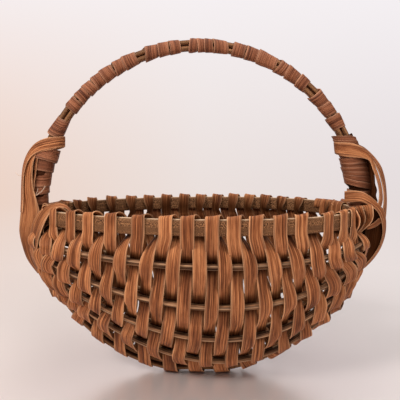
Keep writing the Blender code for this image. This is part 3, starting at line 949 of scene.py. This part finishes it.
def make_rib(side, index):
    points = lines[side][index + 1].points
    frames = []
    for place, point in enumerate(points):
        before = points[max(place - 1, 0)]
        after = points[min(place + 1, len(points) - 1)]
        along = (after - before).normalized()
        away = from_middle(point)
        away = (away - along * along.dot(away)).normalized()
        frames.append((away, along.cross(away)))

    def section(share, turn, run):
        taper = min(1.0, min(share, 1 - share) / RIB_TAPER_SHARE)
        radius = mix(RIB_TIP_DIAMETER, RIB_DIAMETER, taper) / 2
        apart = min(turn, 2 * math.pi - turn)
        groove = math.exp(-((apart / RIB_GROOVE_TURN) ** 2))
        wave = RIB_WAVE_SHARE * wander(run * RIB_WAVE_PER_METRE, turn, index * RIB_WAVE_STEP)
        radius *= 1 - RIB_GROOVE_SHARE * groove + wave
        # The two pale lines either side of the groove are painted highlights; the groove gets
        # painted shade.
        pale_edge = 1 - abs(apart - RIB_HIGHLIGHT_TURN)
        aside, up = radius * math.cos(turn), radius * math.sin(turn)
        return aside, up, pale_edge, RIB_GROOVE_PAINTED_SHADE * groove

    names = (f"{side}_rib_rod_{index + 1}", "rib_rod", f"{side}_rib_{index + 1}")
    girth = math.pi * RIB_DIAMETER
    swept(names, points, frames, section, girth, "rib", seed=30.0 + index, cyclic=False)


def make_ribs():
    for index in range(len(RIB_WIDTH_SHARES)):
        for side in ("front", "back"):
            make_rib(side, index)


def make_hoop():
    def section(share, turn, run):
        aside = ROD_DEPTH / 2 * power(math.cos(turn), ROD_SECTION_POWERS[0])
        up = ROD_THICKNESS / 2 * power(math.sin(turn), ROD_SECTION_POWERS[1])
        return aside, up, math.cos(turn) ** 2, 0.0

    seat = (ROD_THICKNESS + CLEARANCE) / 2
    girth = 2 * (ROD_DEPTH + ROD_THICKNESS)
    front = Vector((0.0, -1.0, 0.0))
    angles = full_turn(HOOP_STEPS)
    frames = [(front, Vector((math.cos(angle), 0.0, math.sin(angle)))) for angle in angles]
    for place, offset in (("inner", -seat), ("outer", seat)):
        points = [hoop_point(angle, offset) for angle in angles]
        names = (f"{place}_hoop_rod", "hoop_rod", f"hoop_{place}_rod")
        swept(names, points, frames, section, girth, "rod", seed=50 + offset)


# The winding on the handle.

# Columns of the photograph between which each turn lies at its outer edge.
LEFT_TURN_COLUMNS = (
    (50, 60), (66, 74), (74, 82), (82, 90), (90, 99), (99, 111), (111, 121), (121, 135),
    (143, 157), (157, 168), (168, 179),
)
RIGHT_TURN_COLUMNS = (
    (189, 198), (197, 206), (205, 214), (213, 228), (234, 247), (247, 260), (260, 280),
    (280, 290), (290, 302), (302, 311), (318, 328), (328, 336), (337, 345),
)
# How far each turn leans, in degrees.
LEFT_TURN_TILTS = (4, -6, -3, 6, -4, 3, -8, 0, -14, -6, 3)
RIGHT_TURN_TILTS = (-10, -8, -6, -14, 2, -3, -6, 8, -8, -4, 3, 8, 6)
WINDING_THICKNESS = 0.0008
WINDING_STAND = 0.0007
TURN_LIFT = 0.0004
TURN_POINTS = 24
TURN_ROLL_DEGREES = (3, 7)
TURN_SKEW_SHARE = 0.25
TURN_HOLD_SHARE = 0.55
TURN_POWER = 0.8
# How far round a foot's outer side its painted shade reaches.
FOOT_PAINTED_SHADE_SPREAD = 0.35


def column_angle(column, offset):
    """Angle at which the hoop's upper half, offset outward, is seen in this column."""
    return bisected(0.0, math.pi, lambda angle: pixel_column(hoop_point(angle, offset)) > column)


def wound(name, turns, reaches, depths, dice, seed, tilts, node, outer_painted_shade=0.0, painted_shade=0.0):
    """A splint wound round the hoop. Each turn lies between a pair of angles, with its own
    reach in the hoop's plane, reach to the front and tilt in degrees."""
    stations = []
    last = len(turns) - 1
    for index, (start, end) in enumerate(turns):
        ahead = min(index + 1, last)
        centre_angle, next_angle = (start + end) / 2, sum(turns[ahead]) / 2
        half = abs(end - start) / 2 * HOOP_RADIUS
        next_half = abs(turns[ahead][1] - turns[ahead][0]) / 2 * HOOP_RADIUS
        roll = math.radians(dice.uniform(*TURN_ROLL_DEGREES))
        skew = dice.uniform(-TURN_SKEW_SHARE, TURN_SKEW_SHARE) * half / HOOP_RADIUS
        lift = dice.uniform(0, TURN_LIFT)
        lower = 1 if centre_angle > math.pi / 2 else -1
        lean = lower * math.tan(math.radians(tilts[index])) * reaches[index] / HOOP_RADIUS
        for step, turn in enumerate(full_turn(TURN_POINTS)):
            moved = ease((step / TURN_POINTS - TURN_HOLD_SHARE) / (1 - TURN_HOLD_SHARE))
            angle = mix(centre_angle, next_angle, moved)
            angle += (skew * math.sin(turn) + lean * math.cos(turn)) * (1 - moved)
            outer = Vector((math.cos(angle), 0.0, math.sin(angle)))
            along = Vector((-math.sin(angle), 0.0, math.cos(angle)))
            up = mix(reaches[index], reaches[ahead], moved) + lift
            aside = mix(depths[index], depths[ahead], moved) + lift
            place = outer * (up * power(math.cos(turn), TURN_POWER))
            place.y -= aside * power(math.sin(turn), TURN_POWER)
            normal = (outer * math.cos(turn) - Vector((0.0, math.sin(turn), 0.0))).normalized()
            across = along * math.cos(roll) + normal * math.sin(roll)
            # Painted shade on the outward side of a foot's turns, growing over its first turns.
            shadow_paint = outer_painted_shade * ease(math.cos(turn) + FOOT_PAINTED_SHADE_SPREAD) * ease(index / 2)
            width = mix(half, next_half, moved)
            stations.append((hoop_point(angle, 0.0) + place, across, width, max(painted_shade, shadow_paint)))
    band(name, stations, WINDING_THICKNESS, "winding", seed, [node], square=False)


def make_handle_winding():
    reach_up = HOOP_STACK / 2 + WINDING_STAND
    reach_side = ROD_DEPTH / 2 + WINDING_STAND
    dice = random.Random(23)
    for side, columns, tilts, seed in (
        ("left", LEFT_TURN_COLUMNS, LEFT_TURN_TILTS, 70.0),
        ("right", RIGHT_TURN_COLUMNS, RIGHT_TURN_TILTS, 80.0),
    ):
        turns = [(column_angle(a, reach_up), column_angle(b, reach_up)) for a, b in columns]
        ups, sides = [reach_up] * len(turns), [reach_side] * len(turns)
        name, node = f"{side}_handle_winding", f"handle_wrap_{side}"
        wound(name, turns, ups, sides, dice, seed, tilts, node)


# The ears.

# How far the ear bands stand in front of the hoop's plane, for a depth share of 1.
EAR_DEPTH = 0.0105
EAR_BAND_THICKNESS = 0.0010
EAR_STEPS = 7
# Darkening at the start and end of a band: painted shade over the linings in the ears'
# hollows, darker towards the end of the uprights and shields, and none on the rest.
HOLLOW_PAINTED_SHADE = 0.93
HOLLOW_SHADE_ENDS = (HOLLOW_PAINTED_SHADE, HOLLOW_PAINTED_SHADE)
DARKER_END = (0.0, 0.30)
UNSHADED_ENDS = (0.0, 0.0)
# Behind the hoop these bands start this many places further along.
REAR_SWEEP_START = 2
REAR_LEFT_SHIELD_START = 4
REAR_RIGHT_SHIELD_START = 2

# Bands of the ears as the photograph shows them: column, row and depth share of one edge,
# then of the other.
LEFT_SWEEP = (
    (63, 137, -0.5, 63, 147.5, -0.5), (64.6, 136.4, 0.25, 64.6, 147, 0.25),
    (58, 136.6, 0.8, 58.5, 147.9, 0.85), (50.5, 137.3, 0.95, 51, 149.9, 1),
    (44, 138.8, 0.9, 45, 151, 1), (38.2, 141.2, 0.75, 40, 152, 0.95),
    (33, 145.2, 0.55, 35, 154, 0.92), (28.6, 151.3, 0.35, 30.6, 157.4, 0.9),
    (25.2, 158.6, 0.18, 27.2, 162.6, 0.86), (23, 166.8, 0.1, 24.9, 169.2, 0.82),
    (21.9, 176.5, 0.08, 23.6, 177.5, 0.78), (21.4, 188, 0.08, 23.2, 188.5, 0.74),
    (21.2, 200, 0.08, 23.2, 200.5, 0.72), (20.6, 212, 0.08, 22.6, 212.5, 0.72),
)
LEFT_UPRIGHT = (
    (31.5, 149, 0.45, 40, 149.5, 0.6), (28.2, 155.5, 0.45, 35.8, 154.8, 0.8),
    (26.9, 162, 0.45, 33.6, 161, 0.92), (25.4, 168.5, 0.45, 32.8, 168, 1),
    (23.9, 175.5, 0.45, 32.4, 175.2, 1.05), (22.9, 184.5, 0.42, 32.8, 184, 1.1),
    (22.2, 194, 0.4, 34.4, 193.2, 1.2), (21.7, 204, 0.36, 37.2, 202.5, 1.35),
    (20.8, 213, 0.32, 39.6, 211.5, 1.45), (19.9, 222, 0.28, 38.2, 221.5, 1.45),
    (19.6, 231, 0.22, 35, 231, 1.3), (21, 241, 0.16, 33.4, 241, 1.15),
    (23.8, 250.5, 0.12, 33.4, 250, 1), (28, 259.8, 0.1, 34.6, 258.5, 0.85),
    (33.3, 267.6, 0.08, 37.4, 265.8, 0.7), (38, 273.4, 0.06, 39.6, 272.2, 0.6),
)
LEFT_SHIELD = (
    (71.5, 210.4, 2.6, 70, 211.6, 2.7), (66, 205.4, 2.4, 65, 208.2, 2.7),
    (59.5, 203.2, 2.2, 59.5, 207.4, 2.9), (53.5, 203.6, 2.1, 55.5, 208.8, 3.1),
    (47.5, 205.4, 1.95, 51.4, 211.4, 3.2), (42, 208.8, 1.75, 47.8, 216.6, 3.2),
    (37.4, 214, 1.55, 44.6, 223, 3.3), (33.6, 220.6, 1.4, 41.8, 230, 3.4),
    (31.2, 229, 1.25, 39.6, 237.2, 3.5), (30.2, 238.4, 1.15, 37.8, 244.2, 3.4),
    (30.4, 247.8, 1.05, 36.8, 251.4, 3), (31.8, 256.6, 0.95, 37, 258.6, 2.6),
    (34.6, 264, 0.85, 38.2, 265, 2), (38, 270.6, 0.74, 39.8, 270.6, 1.4),
)
# The linings lie in the ears' hollows and are painted dark as the shade there.
LEFT_LINING = (
    (46, 207, 1, 57, 212, 1.1), (40, 220, 0.9, 51, 226, 1),
    (36, 234, 0.8, 46, 240, 0.95), (34, 248, 0.7, 44, 252, 0.9),
    (35, 260, 0.55, 45, 262, 0.85), (38.4, 270, 0.4, 48.5, 271, 0.8),
    (46.6, 280.4, 0.3, 55, 280, 0.7), (55, 287, 0.2, 60, 286, 0.6),
)
LEFT_SLIP = (
    (37.6, 154.2, 0.7, 38.9, 154.4, 0.8), (36.3, 160, 0.75, 37.6, 160.2, 0.85),
    (35.3, 167, 0.8, 36.5, 167.2, 0.9), (34.5, 174.5, 0.85, 35.7, 174.7, 0.95),
    (33.3, 182, 0.9, 34.5, 182.2, 1), (33, 190, 0.95, 34, 190.2, 1.05),
)
RIGHT_SWEEP = (
    (337, 143, -0.6, 337, 154, -0.6), (334, 142, 0.1, 335.2, 153.6, 0.1),
    (337.5, 142.2, 0.75, 338.4, 155, 0.75), (345, 142.4, 1, 346, 156.6, 1),
    (352.6, 143.2, 1.08, 353.6, 157.4, 1.08), (359.4, 145.8, 1.05, 360.4, 158, 1.08),
    (364.8, 149.4, 0.95, 365.8, 158.9, 1.06), (368.9, 154.2, 0.85, 369, 160.6, 1.02),
    (372, 159.8, 0.75, 370.6, 163, 1), (375.4, 167.6, 0.65, 372.8, 169.2, 0.98),
    (378.6, 176, 0.6, 375.8, 177, 0.96), (380.9, 184.6, 0.56, 378.1, 185.2, 0.95),
    (382.2, 193, 0.55, 379.2, 193.4, 0.95), (382.4, 200, 0.55, 378.8, 200, 0.95),
    (381.2, 206.4, 0.6, 377.8, 205, 0.95),
)
RIGHT_OUTER = (
    (353, 143.2, -1, 353, 146.2, -0.4), (357, 144.2, -0.95, 356.6, 147.4, -0.2),
    (361.4, 146, -0.9, 360.6, 149.4, -0.12), (365.8, 148.8, -0.88, 364.6, 152.2, -0.1),
    (371.2, 153.6, -0.86, 368.4, 156.8, -0.08), (376.4, 159.4, -0.84, 372.8, 161.8, -0.06),
    (380.8, 166.2, -0.82, 376.6, 167.8, -0.05), (383.5, 173.8, -0.8, 379.6, 174.8, -0.05),
    (385.3, 182.4, -0.8, 381.8, 182.8, -0.05), (386.3, 192, -0.8, 383.5, 192.2, -0.05),
    (386.6, 202, -0.76, 383.8, 202, -0.05), (386.2, 210, -0.7, 382.8, 209.4, -0.05),
    (385.4, 218, -0.66, 381.8, 216, -0.05), (383.4, 225, -0.55, 379.6, 221.6, -0.05),
    (379.4, 231, -0.4, 376.4, 227, -0.05),
)
RIGHT_SHIELD = (
    (344.4, 191.2, 0.8, 344.4, 202.6, 0.82), (349.4, 190.7, 0.92, 349.2, 202.2, 0.94),
    (355.6, 190.6, 1, 354.8, 201.8, 1.04), (363.2, 192.2, 1.08, 361, 202, 1.18),
    (370.2, 196.2, 1.05, 366.6, 204.2, 1.28), (375.8, 200.8, 1, 371.4, 206.8, 1.32),
    (380.6, 206, 0.85, 375.6, 209.8, 1.3), (384.2, 212, 0.68, 379, 214.2, 1.2),
    (385.8, 219.5, 0.5, 381.3, 220.4, 1.05), (385.8, 228, 0.35, 382.7, 228, 0.8),
    (384.6, 236, 0.22, 382.4, 235.4, 0.6), (382.2, 243.6, 0.15, 380.4, 242.8, 0.45),
    (379, 250.4, 0.1, 377.4, 249.4, 0.4), (374.6, 257, 0.08, 373.2, 255.8, 0.36),
    (369.6, 262.8, 0.06, 368.4, 261.4, 0.33), (364.6, 267.6, 0.04, 363.6, 266.2, 0.3),
)
RIGHT_TIE = (
    (366.2, 226.4, 1.1, 367.4, 229.6, 1.1), (370.8, 224.4, 1.12, 372.2, 228.4, 1.15),
    (375.2, 221.4, 1.08, 377, 226, 1.14), (379.2, 217.6, 0.96, 381.2, 222.6, 1.02),
)
# The right ear's linings are painted dark as the shade in its hollows.
RIGHT_FOOT_LINING = (
    (365, 157, 0.3, 370.6, 160.4, 0.7), (366, 166, 0.3, 373.4, 168, 0.7),
    (365.5, 174, 0.3, 374.8, 176.2, 0.7), (365.5, 182, 0.3, 375.2, 183.8, 0.7),
    (365.5, 189, 0.3, 377, 190, 0.7), (366.5, 195, 0.3, 376.2, 195.6, 0.7),
    (368.5, 201, 0.3, 378, 201.6, 0.7),
)
RIGHT_LINING = (
    (370.6, 204, 0.8, 377, 207.6, 0.7), (371, 212, 0.8, 382, 214, 0.5),
    (369, 220, 0.8, 384.4, 221, 0.4), (366, 228, 0.8, 384.8, 229, 0.3),
    (365, 236, 0.8, 383.8, 236.8, 0.2), (365, 243, 0.75, 381.6, 243.8, 0.12),
    (364.6, 250, 0.7, 378.2, 250.4, 0.08), (365.4, 256.6, 0.6, 373.8, 257, 0.05),
    (365, 262.4, 0.4, 368.8, 262.8, 0.02), (363.4, 267.4, 0.2, 364.2, 267.6, 0),
)
# The tight turns that close the rim's right end.
RIGHT_ROUNDS = (
    (
        (351, 215, 2, 356.4, 212.4, 2.3), (348.4, 211.6, 2.4, 354.6, 207.8, 2.75),
        (349.8, 212.2, 2.7, 356.2, 209.6, 3.3), (353, 215.6, 2.75, 358.4, 214.2, 3.5),
        (355.2, 219.6, 2.75, 360.2, 218.6, 3.5), (354.8, 225.4, 2.7, 359.6, 225, 3.45),
        (352.8, 230.6, 2.65, 356.8, 230.4, 3.35), (348.8, 235.2, 2.6, 351.2, 236, 3.2),
    ),
    (
        (357, 212, 1.5, 363.2, 210, 1.8), (354.6, 207.8, 1.9, 361.8, 206, 2.35),
        (356.6, 208.8, 2.25, 363, 207.6, 2.9), (358.8, 213.4, 2.3, 364.4, 212.6, 3.05),
        (361, 218.2, 2.3, 365.8, 217.8, 3.05), (360.2, 224.8, 2.25, 364.2, 224.4, 3),
        (357, 230.2, 2.2, 360, 230.6, 2.9), (351.8, 235, 2.15, 353.8, 236.2, 2.8),
    ),
    (
        (363, 210, 1, 371, 208.6, 1.3), (361.4, 206.4, 1.3, 371.4, 204.6, 1.85),
        (363.4, 207.6, 1.6, 373, 206.8, 2.35), (365, 212, 1.7, 373.4, 211.6, 2.5),
        (366.4, 217.4, 1.7, 373.2, 217.6, 2.5), (364.8, 224.2, 1.7, 370.8, 222.8, 2.45),
        (360.6, 230.2, 1.7, 365.6, 228, 2.35), (356, 233.8, 1.75, 359.2, 233, 2.25),
    ),
)


def ear_band(name, table, seed, *nodes, depth_sign=1, painted_shades=UNSHADED_ENDS):
    """A band of an ear from the places of its two edges, darkened by given shares at its start
    and end. The sign puts it in front or behind."""
    steps = EAR_STEPS * (len(table) - 1)
    paths = []
    for edge in (slice(0, 3), slice(3, 6)):
        points = []
        for column, row, depth in [line[edge] for line in table]:
            point = at_pixel(column, row, -depth * EAR_DEPTH)
            point.y *= depth_sign
            points.append(point)
        paths.append(smooth_path(points, steps))
    stations = []
    for index, (first, last) in enumerate(zip(*paths)):
        across = last - first
        painted_shade = mix(*painted_shades, ease(index / steps))
        stations.append(((first + last) / 2, across.normalized(), across.length / 2, painted_shade))
    band(name, stations, EAR_BAND_THICKNESS, "splint", seed, nodes, square=False)


# Rows of the photograph between which each turn of the wound feet lies, how far each leans
# in degrees, and its reach in the hoop's plane.
LEFT_FOOT_ROWS = ((148, 160.5), (159.5, 171), (170, 185.5), (184, 193.5), (192, 204), (203, 214))
RIGHT_FOOT_ROWS = (
    (136.5, 141), (140, 145), (150, 158), (157, 163.5), (162, 168), (166.5, 172.5),
    (171, 177), (175.5, 181.5), (180, 186), (189, 203), (202, 213),
)
LEFT_FOOT_TILTS = (5, 7, 8, 10, 8, 4)
RIGHT_FOOT_TILTS = (30, 26, 14, 12, 12, 13, 15, 18, 22, 4, 0)
LEFT_FOOT_REACHES = (0.0100, 0.0088, 0.0084, 0.0082, 0.0076, 0.0074)
RIGHT_FOOT_REACHES = (
    0.0088, 0.0092, 0.0098, 0.0104, 0.0106, 0.0108, 0.0108, 0.0108, 0.0106, 0.0092, 0.0086,
)
FOOT_DEPTH_SHARE = 0.93
FOOT_CORE_REACH = 0.0072
FOOT_CORE_TURNS = 11
FOOT_CORE_LAP = 1.1
LOWEST_FOOT_ANGLE = math.radians(-30)


def row_angle(row, left):
    """Angle at which the hoop is seen in this row of the photograph."""

    def is_lower(angle):
        drop = CAMERA_PLACE.z - hoop_point(angle, 0.0).z
        return HORIZON_ROW + LENS_PIXELS * drop / -CAMERA_PLACE.y > row

    angle = bisected(LOWEST_FOOT_ANGLE, math.pi / 2, is_lower)
    return math.pi - angle if left else angle


def make_feet():
    dice = random.Random(31)
    for side, left, rows, tilts, reaches in (
        ("left", True, LEFT_FOOT_ROWS, LEFT_FOOT_TILTS, LEFT_FOOT_REACHES),
        ("right", False, RIGHT_FOOT_ROWS, RIGHT_FOOT_TILTS, RIGHT_FOOT_REACHES),
    ):
        turns = [(row_angle(top, left), row_angle(bottom, left)) for top, bottom in rows]
        depths = [reach * FOOT_DEPTH_SHARE for reach in reaches]
        name, node = f"{side}_ear_winding", f"{side}_ear_collar"
        seed = 90.0 + left
        # The outward side of each foot is darkened with painted shade.
        wound(name, turns, reaches, depths, dice, seed, tilts, node, outer_painted_shade=HOLLOW_PAINTED_SHADE)
        first, last = turns[0][0], turns[-1][1]
        core = []
        for turn in range(FOOT_CORE_TURNS):
            shares = (turn / FOOT_CORE_TURNS, (turn + FOOT_CORE_LAP) / FOOT_CORE_TURNS)
            core.append([mix(first, last, share) for share in shares])
        even, level = [FOOT_CORE_REACH] * FOOT_CORE_TURNS, [0] * FOOT_CORE_TURNS
        # The inner layers of each foot are painted dark as the shade inside it.
        name, node = f"{side}_ear_layers", f"{side}_ear_inner_layers"
        wound(name, core, even, even, dice, seed + 4, level, node, painted_shade=HOLLOW_PAINTED_SHADE)


def make_ears():
    for rear, side, sign, seed in (("", "front", 1, 100.0), ("_rear", "back", -1, 105.0)):
        sweep = LEFT_SWEEP if sign > 0 else LEFT_SWEEP[REAR_SWEEP_START:]
        base = LEFT_SHIELD if sign > 0 else LEFT_SHIELD[REAR_LEFT_SHIELD_START:]
        for number, (part, table, nodes, painted_shades) in enumerate(
            (
                ("sweep", sweep, (), UNSHADED_ENDS),
                ("upright", LEFT_UPRIGHT, [f"left_ear_{side}_bow"], DARKER_END),
                ("shield", base, [f"left_ear_{side}_shield"], DARKER_END),
                ("lining", LEFT_LINING, (), HOLLOW_SHADE_ENDS),
            )
        ):
            name = f"left_ear{rear}_{part}"
            ear_band(name, table, seed + number, *nodes, depth_sign=sign, painted_shades=painted_shades)
    ear_band("left_ear_slip", LEFT_SLIP, 104.0)
    ear_band("right_ear_sweep", RIGHT_SWEEP, 110.0, "right_ear_front_bow")
    ear_band("right_ear_outer", RIGHT_OUTER, 111.0, "right_ear_back_bow")
    ear_band("right_ear_foot_lining", RIGHT_FOOT_LINING, 112.0, painted_shades=HOLLOW_SHADE_ENDS)
    for rear, side, sign, seed in (("", "front", 1, 113.0), ("_rear", "back", -1, 119.0)):
        base = RIGHT_SHIELD if sign > 0 else RIGHT_SHIELD[REAR_RIGHT_SHIELD_START:]
        name = f"right_ear{rear}"
        ear_band(f"{name}_shield", base, seed, f"right_ear_{side}_shield", depth_sign=sign)
        ear_band(f"{name}_tie", RIGHT_TIE, seed + 1, depth_sign=sign)
        ear_band(f"{name}_lining", RIGHT_LINING, seed + 2, depth_sign=sign, painted_shades=HOLLOW_SHADE_ENDS)
        for number, rounds in enumerate(RIGHT_ROUNDS, 1):
            ear_band(f"{name}_round_{number}", rounds, seed + 2 + number, depth_sign=sign)


# Tight turns round the rim beside the ears: side, first and last share of the rim, turns.
EAR_RIM_TURNS = (
    ("front", 0.018, 0.050, 2),
    ("back", 0.016, 0.058, 3),
    ("back", 0.862, 0.968, 5),
)
EAR_RIM_STAND = 0.0016
EAR_RIM_WIDTH_SHARE = 0.58
EAR_RIM_POWERS = (0.7, 0.8)


def make_rim_turns():
    """The splint ends wound tightly round the rim, up against the ears."""
    half_thickness = RIM_THICKNESS / 2 + EAR_RIM_STAND
    half_height = RIM_HEIGHT / 2 + EAR_RIM_STAND
    for number, (side, first, last, turns) in enumerate(EAR_RIM_TURNS):
        line = lines[side][0]
        half = (line.at(last) - line.at(first)).length / turns * EAR_RIM_WIDTH_SHARE
        stations = []
        for step in range(turns * TURN_POINTS + 1):
            turn = 2 * math.pi * step / TURN_POINTS
            share = mix(first, last, step / (turns * TURN_POINTS))
            point, along = line.at(share), line.along(share)
            normal = along.cross(UP).normalized()
            out = half_thickness * power(math.cos(turn), EAR_RIM_POWERS[0])
            rise = half_height * power(math.sin(turn), EAR_RIM_POWERS[1])
            stations.append((point + normal * out + UP * rise, along, half, 0.0))
        name = f"ear_rim_turns_{number + 1}"
        band(name, stations, WINDING_THICKNESS, "splint", 120.0 + number)


# Loose fibres: columns and rows along each, its depth share, and half its width.
FIBRES = (
    ((45.4, 186.0), (43.0, 189.6), (40.2, 192.4), (37.2, 194.6), (34.4, 196.2)),
    ((37.8, 188.4), (37.6, 190.6), (36.8, 192.8), (35.6, 194.8)),
    ((15.6, 172.6), (17.4, 174.4), (19.8, 175.6), (23.6, 174.8)),
    ((299.0, 326.0), (302.6, 326.4), (306.0, 327.0), (309.4, 328.6)),
    ((73.6, 240.6), (75.0, 238.0), (78.0, 235.6), (80.8, 234.4)),
)
FIBRE_DEPTH_SHARES = (1.15, 1.10, 0.3, 1.0, 4.6)
FIBRE_HALF_WIDTHS = (0.00045, 0.00035, 0.00012, 0.00018, 0.0005)
FIBRE_THICKNESS = 0.0003
FIBRE_STEPS = 5
FIBRE_FACING = Vector((0.3, -0.3, 0.9))


def make_fibres():
    fibres = zip(FIBRES, FIBRE_DEPTH_SHARES, FIBRE_HALF_WIDTHS)
    for number, (places, depth, half) in enumerate(fibres):
        points = [at_pixel(column, row, -depth * EAR_DEPTH) for column, row in places]
        points = smooth_path(points, FIBRE_STEPS * (len(points) - 1))
        stations = [(point, FIBRE_FACING, half, 0.0) for point in points]
        name = f"loose_fibre_{number + 1}"
        band(name, stations, FIBRE_THICKNESS, "fibre", 130.0 + number)


# The stage, the light and the camera.

FLOOR_HALF_SIZE = 3.0
FLOOR_BACK = 1.1
SWEEP_RADIUS = 0.6
SWEEP_STEPS = 24
WALL_HEIGHT = 2.6
WALL_RISE = 1.1
SIDE_REACH = 0.9
# The floor's tones from left to right, and the wall's.
FLOOR_TONES = ((236, 208, 192), (234, 223, 219), (228, 220, 221))
WALL_TONE = (248, 244, 247)
PAPER_WHITENESS = 0.1
# Between these distances the paper turns from lit to its plain colour.
PAPER_REACH = (0.15, 0.50)
# Between these it turns from soft gloss to matt.
GLOSS_REACH = (0.10, 0.26)
PAPER_ROUGHNESS = (0.33, 0.60)
PAPER_GLOSS = (0.50, 0.00)
# Lamps: name, place, size, watts and colour.
LAMPS = (
    ("key_light", (-0.75, -0.75, 1.00), 0.35, 11.0, (1.0, 0.97, 0.94)),
    ("top_light", (0.10, 0.00, 1.30), 1.0, 8.0, (1.0, 0.98, 0.97)),
    ("front_light", (0.45, -0.95, 1.05), 0.8, 7.0, (1.0, 0.96, 0.93)),
)
WORLD_COLOUR = (0.95, 0.96, 1.0, 1.0)
WORLD_STRENGTH = 0.12


def studio_paper():
    """Pale paper. Round the object it takes light and shadow, and further off the camera
    sees its plain colour."""
    material, tree, shader = new_material("studio_paper")
    place = add_node(tree, "ShaderNodeNewGeometry").outputs["Position"]
    split = add_node(tree, "ShaderNodeSeparateXYZ", Vector=place).outputs
    reach = add_node(tree, "ShaderNodeVectorMath", {"operation": "LENGTH"}, _0=place)
    reach = reach.outputs["Value"]
    side = mapped(tree, split["X"], -SIDE_REACH, SIDE_REACH, 0.0, 1.0)
    floor = colour_ramp(tree, side, (0.0, 0.5, 1.0), [tone(*colour) for colour in FLOOR_TONES])
    rise = mapped(tree, split["Z"], 0.0, WALL_RISE, 0.0, 1.0)
    paper = colour_mix(tree, rise, floor, tone(*WALL_TONE))
    lit = colour_mix(tree, PAPER_WHITENESS, paper, tone(255, 255, 255))
    tree.links.new(lit, shader.inputs["Base Color"])
    for name, values in (("Roughness", PAPER_ROUGHNESS), ("Metallic", PAPER_GLOSS)):
        value = mapped(tree, reach, *GLOSS_REACH, *values, "SMOOTHSTEP")
        tree.links.new(value, shader.inputs[name])
    path = add_node(tree, "ShaderNodeLightPath").outputs
    seen = maths(tree, "MAXIMUM", path["Is Camera Ray"], path["Is Glossy Ray"])
    seen = maths(tree, "MAXIMUM", seen, path["Is Transmission Ray"])
    far = mapped(tree, reach, *PAPER_REACH, 0.0, 1.0, "SMOOTHSTEP")
    glow = add_node(tree, "ShaderNodeEmission", Color=paper).outputs[0]
    factor = maths(tree, "MULTIPLY", seen, far)
    total = add_node(tree, "ShaderNodeMixShader", _0=factor, _1=shader.outputs[0], _2=glow)
    tree.links.new(total.outputs[0], tree.nodes["Material Output"].inputs["Surface"])
    return material


def make_stage():
    profile = [(-FLOOR_HALF_SIZE, 0.0), (FLOOR_BACK, 0.0)]
    for step in range(1, SWEEP_STEPS + 1):
        turn = math.pi / 2 * step / SWEEP_STEPS
        depth = FLOOR_BACK + SWEEP_RADIUS * math.sin(turn)
        profile.append((depth, SWEEP_RADIUS * (1 - math.cos(turn))))
    profile.append((FLOOR_BACK + SWEEP_RADIUS, WALL_HEIGHT))
    vertices = []
    for depth, height in profile:
        vertices.append((-FLOOR_HALF_SIZE, depth, height))
        vertices.append((FLOOR_HALF_SIZE, depth, height))
    here = range(0, len(vertices) - 2, 2)
    faces = [(start, start + 1, start + 3, start + 2) for start in here]
    sweep = smooth_mesh("studio_sweep", vertices, faces, studio_paper())


def make_light():
    world = bpy.data.worlds.new("studio_world")
    world.use_nodes = True
    background = world.node_tree.nodes["Background"]
    background.inputs["Color"].default_value = WORLD_COLOUR
    background.inputs["Strength"].default_value = WORLD_STRENGTH
    bpy.context.scene.world = world
    for name, place, size, watts, colour in LAMPS:
        data = bpy.data.lights.new(name, "AREA")
        data.shape = "SQUARE"
        data.size = size
        data.energy = watts
        data.color = colour
        lamp = linked(name, data)
        lamp.location = place
        lamp.rotation_euler = (HOOP_CENTRE - Vector(place)).to_track_quat("-Z", "Y").to_euler()


def make_camera():
    data = bpy.data.cameras.new("camera")
    data.sensor_width = SENSOR_WIDTH_MM
    data.lens = LENS_PIXELS / IMAGE_PIXELS * SENSOR_WIDTH_MM
    data.shift_x = (IMAGE_PIXELS / 2 - PHOTO_MIDDLE_COLUMN) / IMAGE_PIXELS
    data.shift_y = (HORIZON_ROW - IMAGE_PIXELS / 2) / IMAGE_PIXELS
    camera = linked("camera", data)
    camera.location = CAMERA_PLACE
    camera.rotation_euler = (math.pi / 2, 0.0, 0.0)
    bpy.context.scene.camera = camera
    bpy.context.scene.view_settings.view_transform = "Standard"


make_camera()
make_light()
make_stage()
lines = make_lines()
row_shares = make_row_shares()
materials = make_materials()
make_strands()
make_rim()
make_ribs()
make_hoop()
make_handle_winding()
make_feet()
make_ears()
make_rim_turns()
make_fibres()
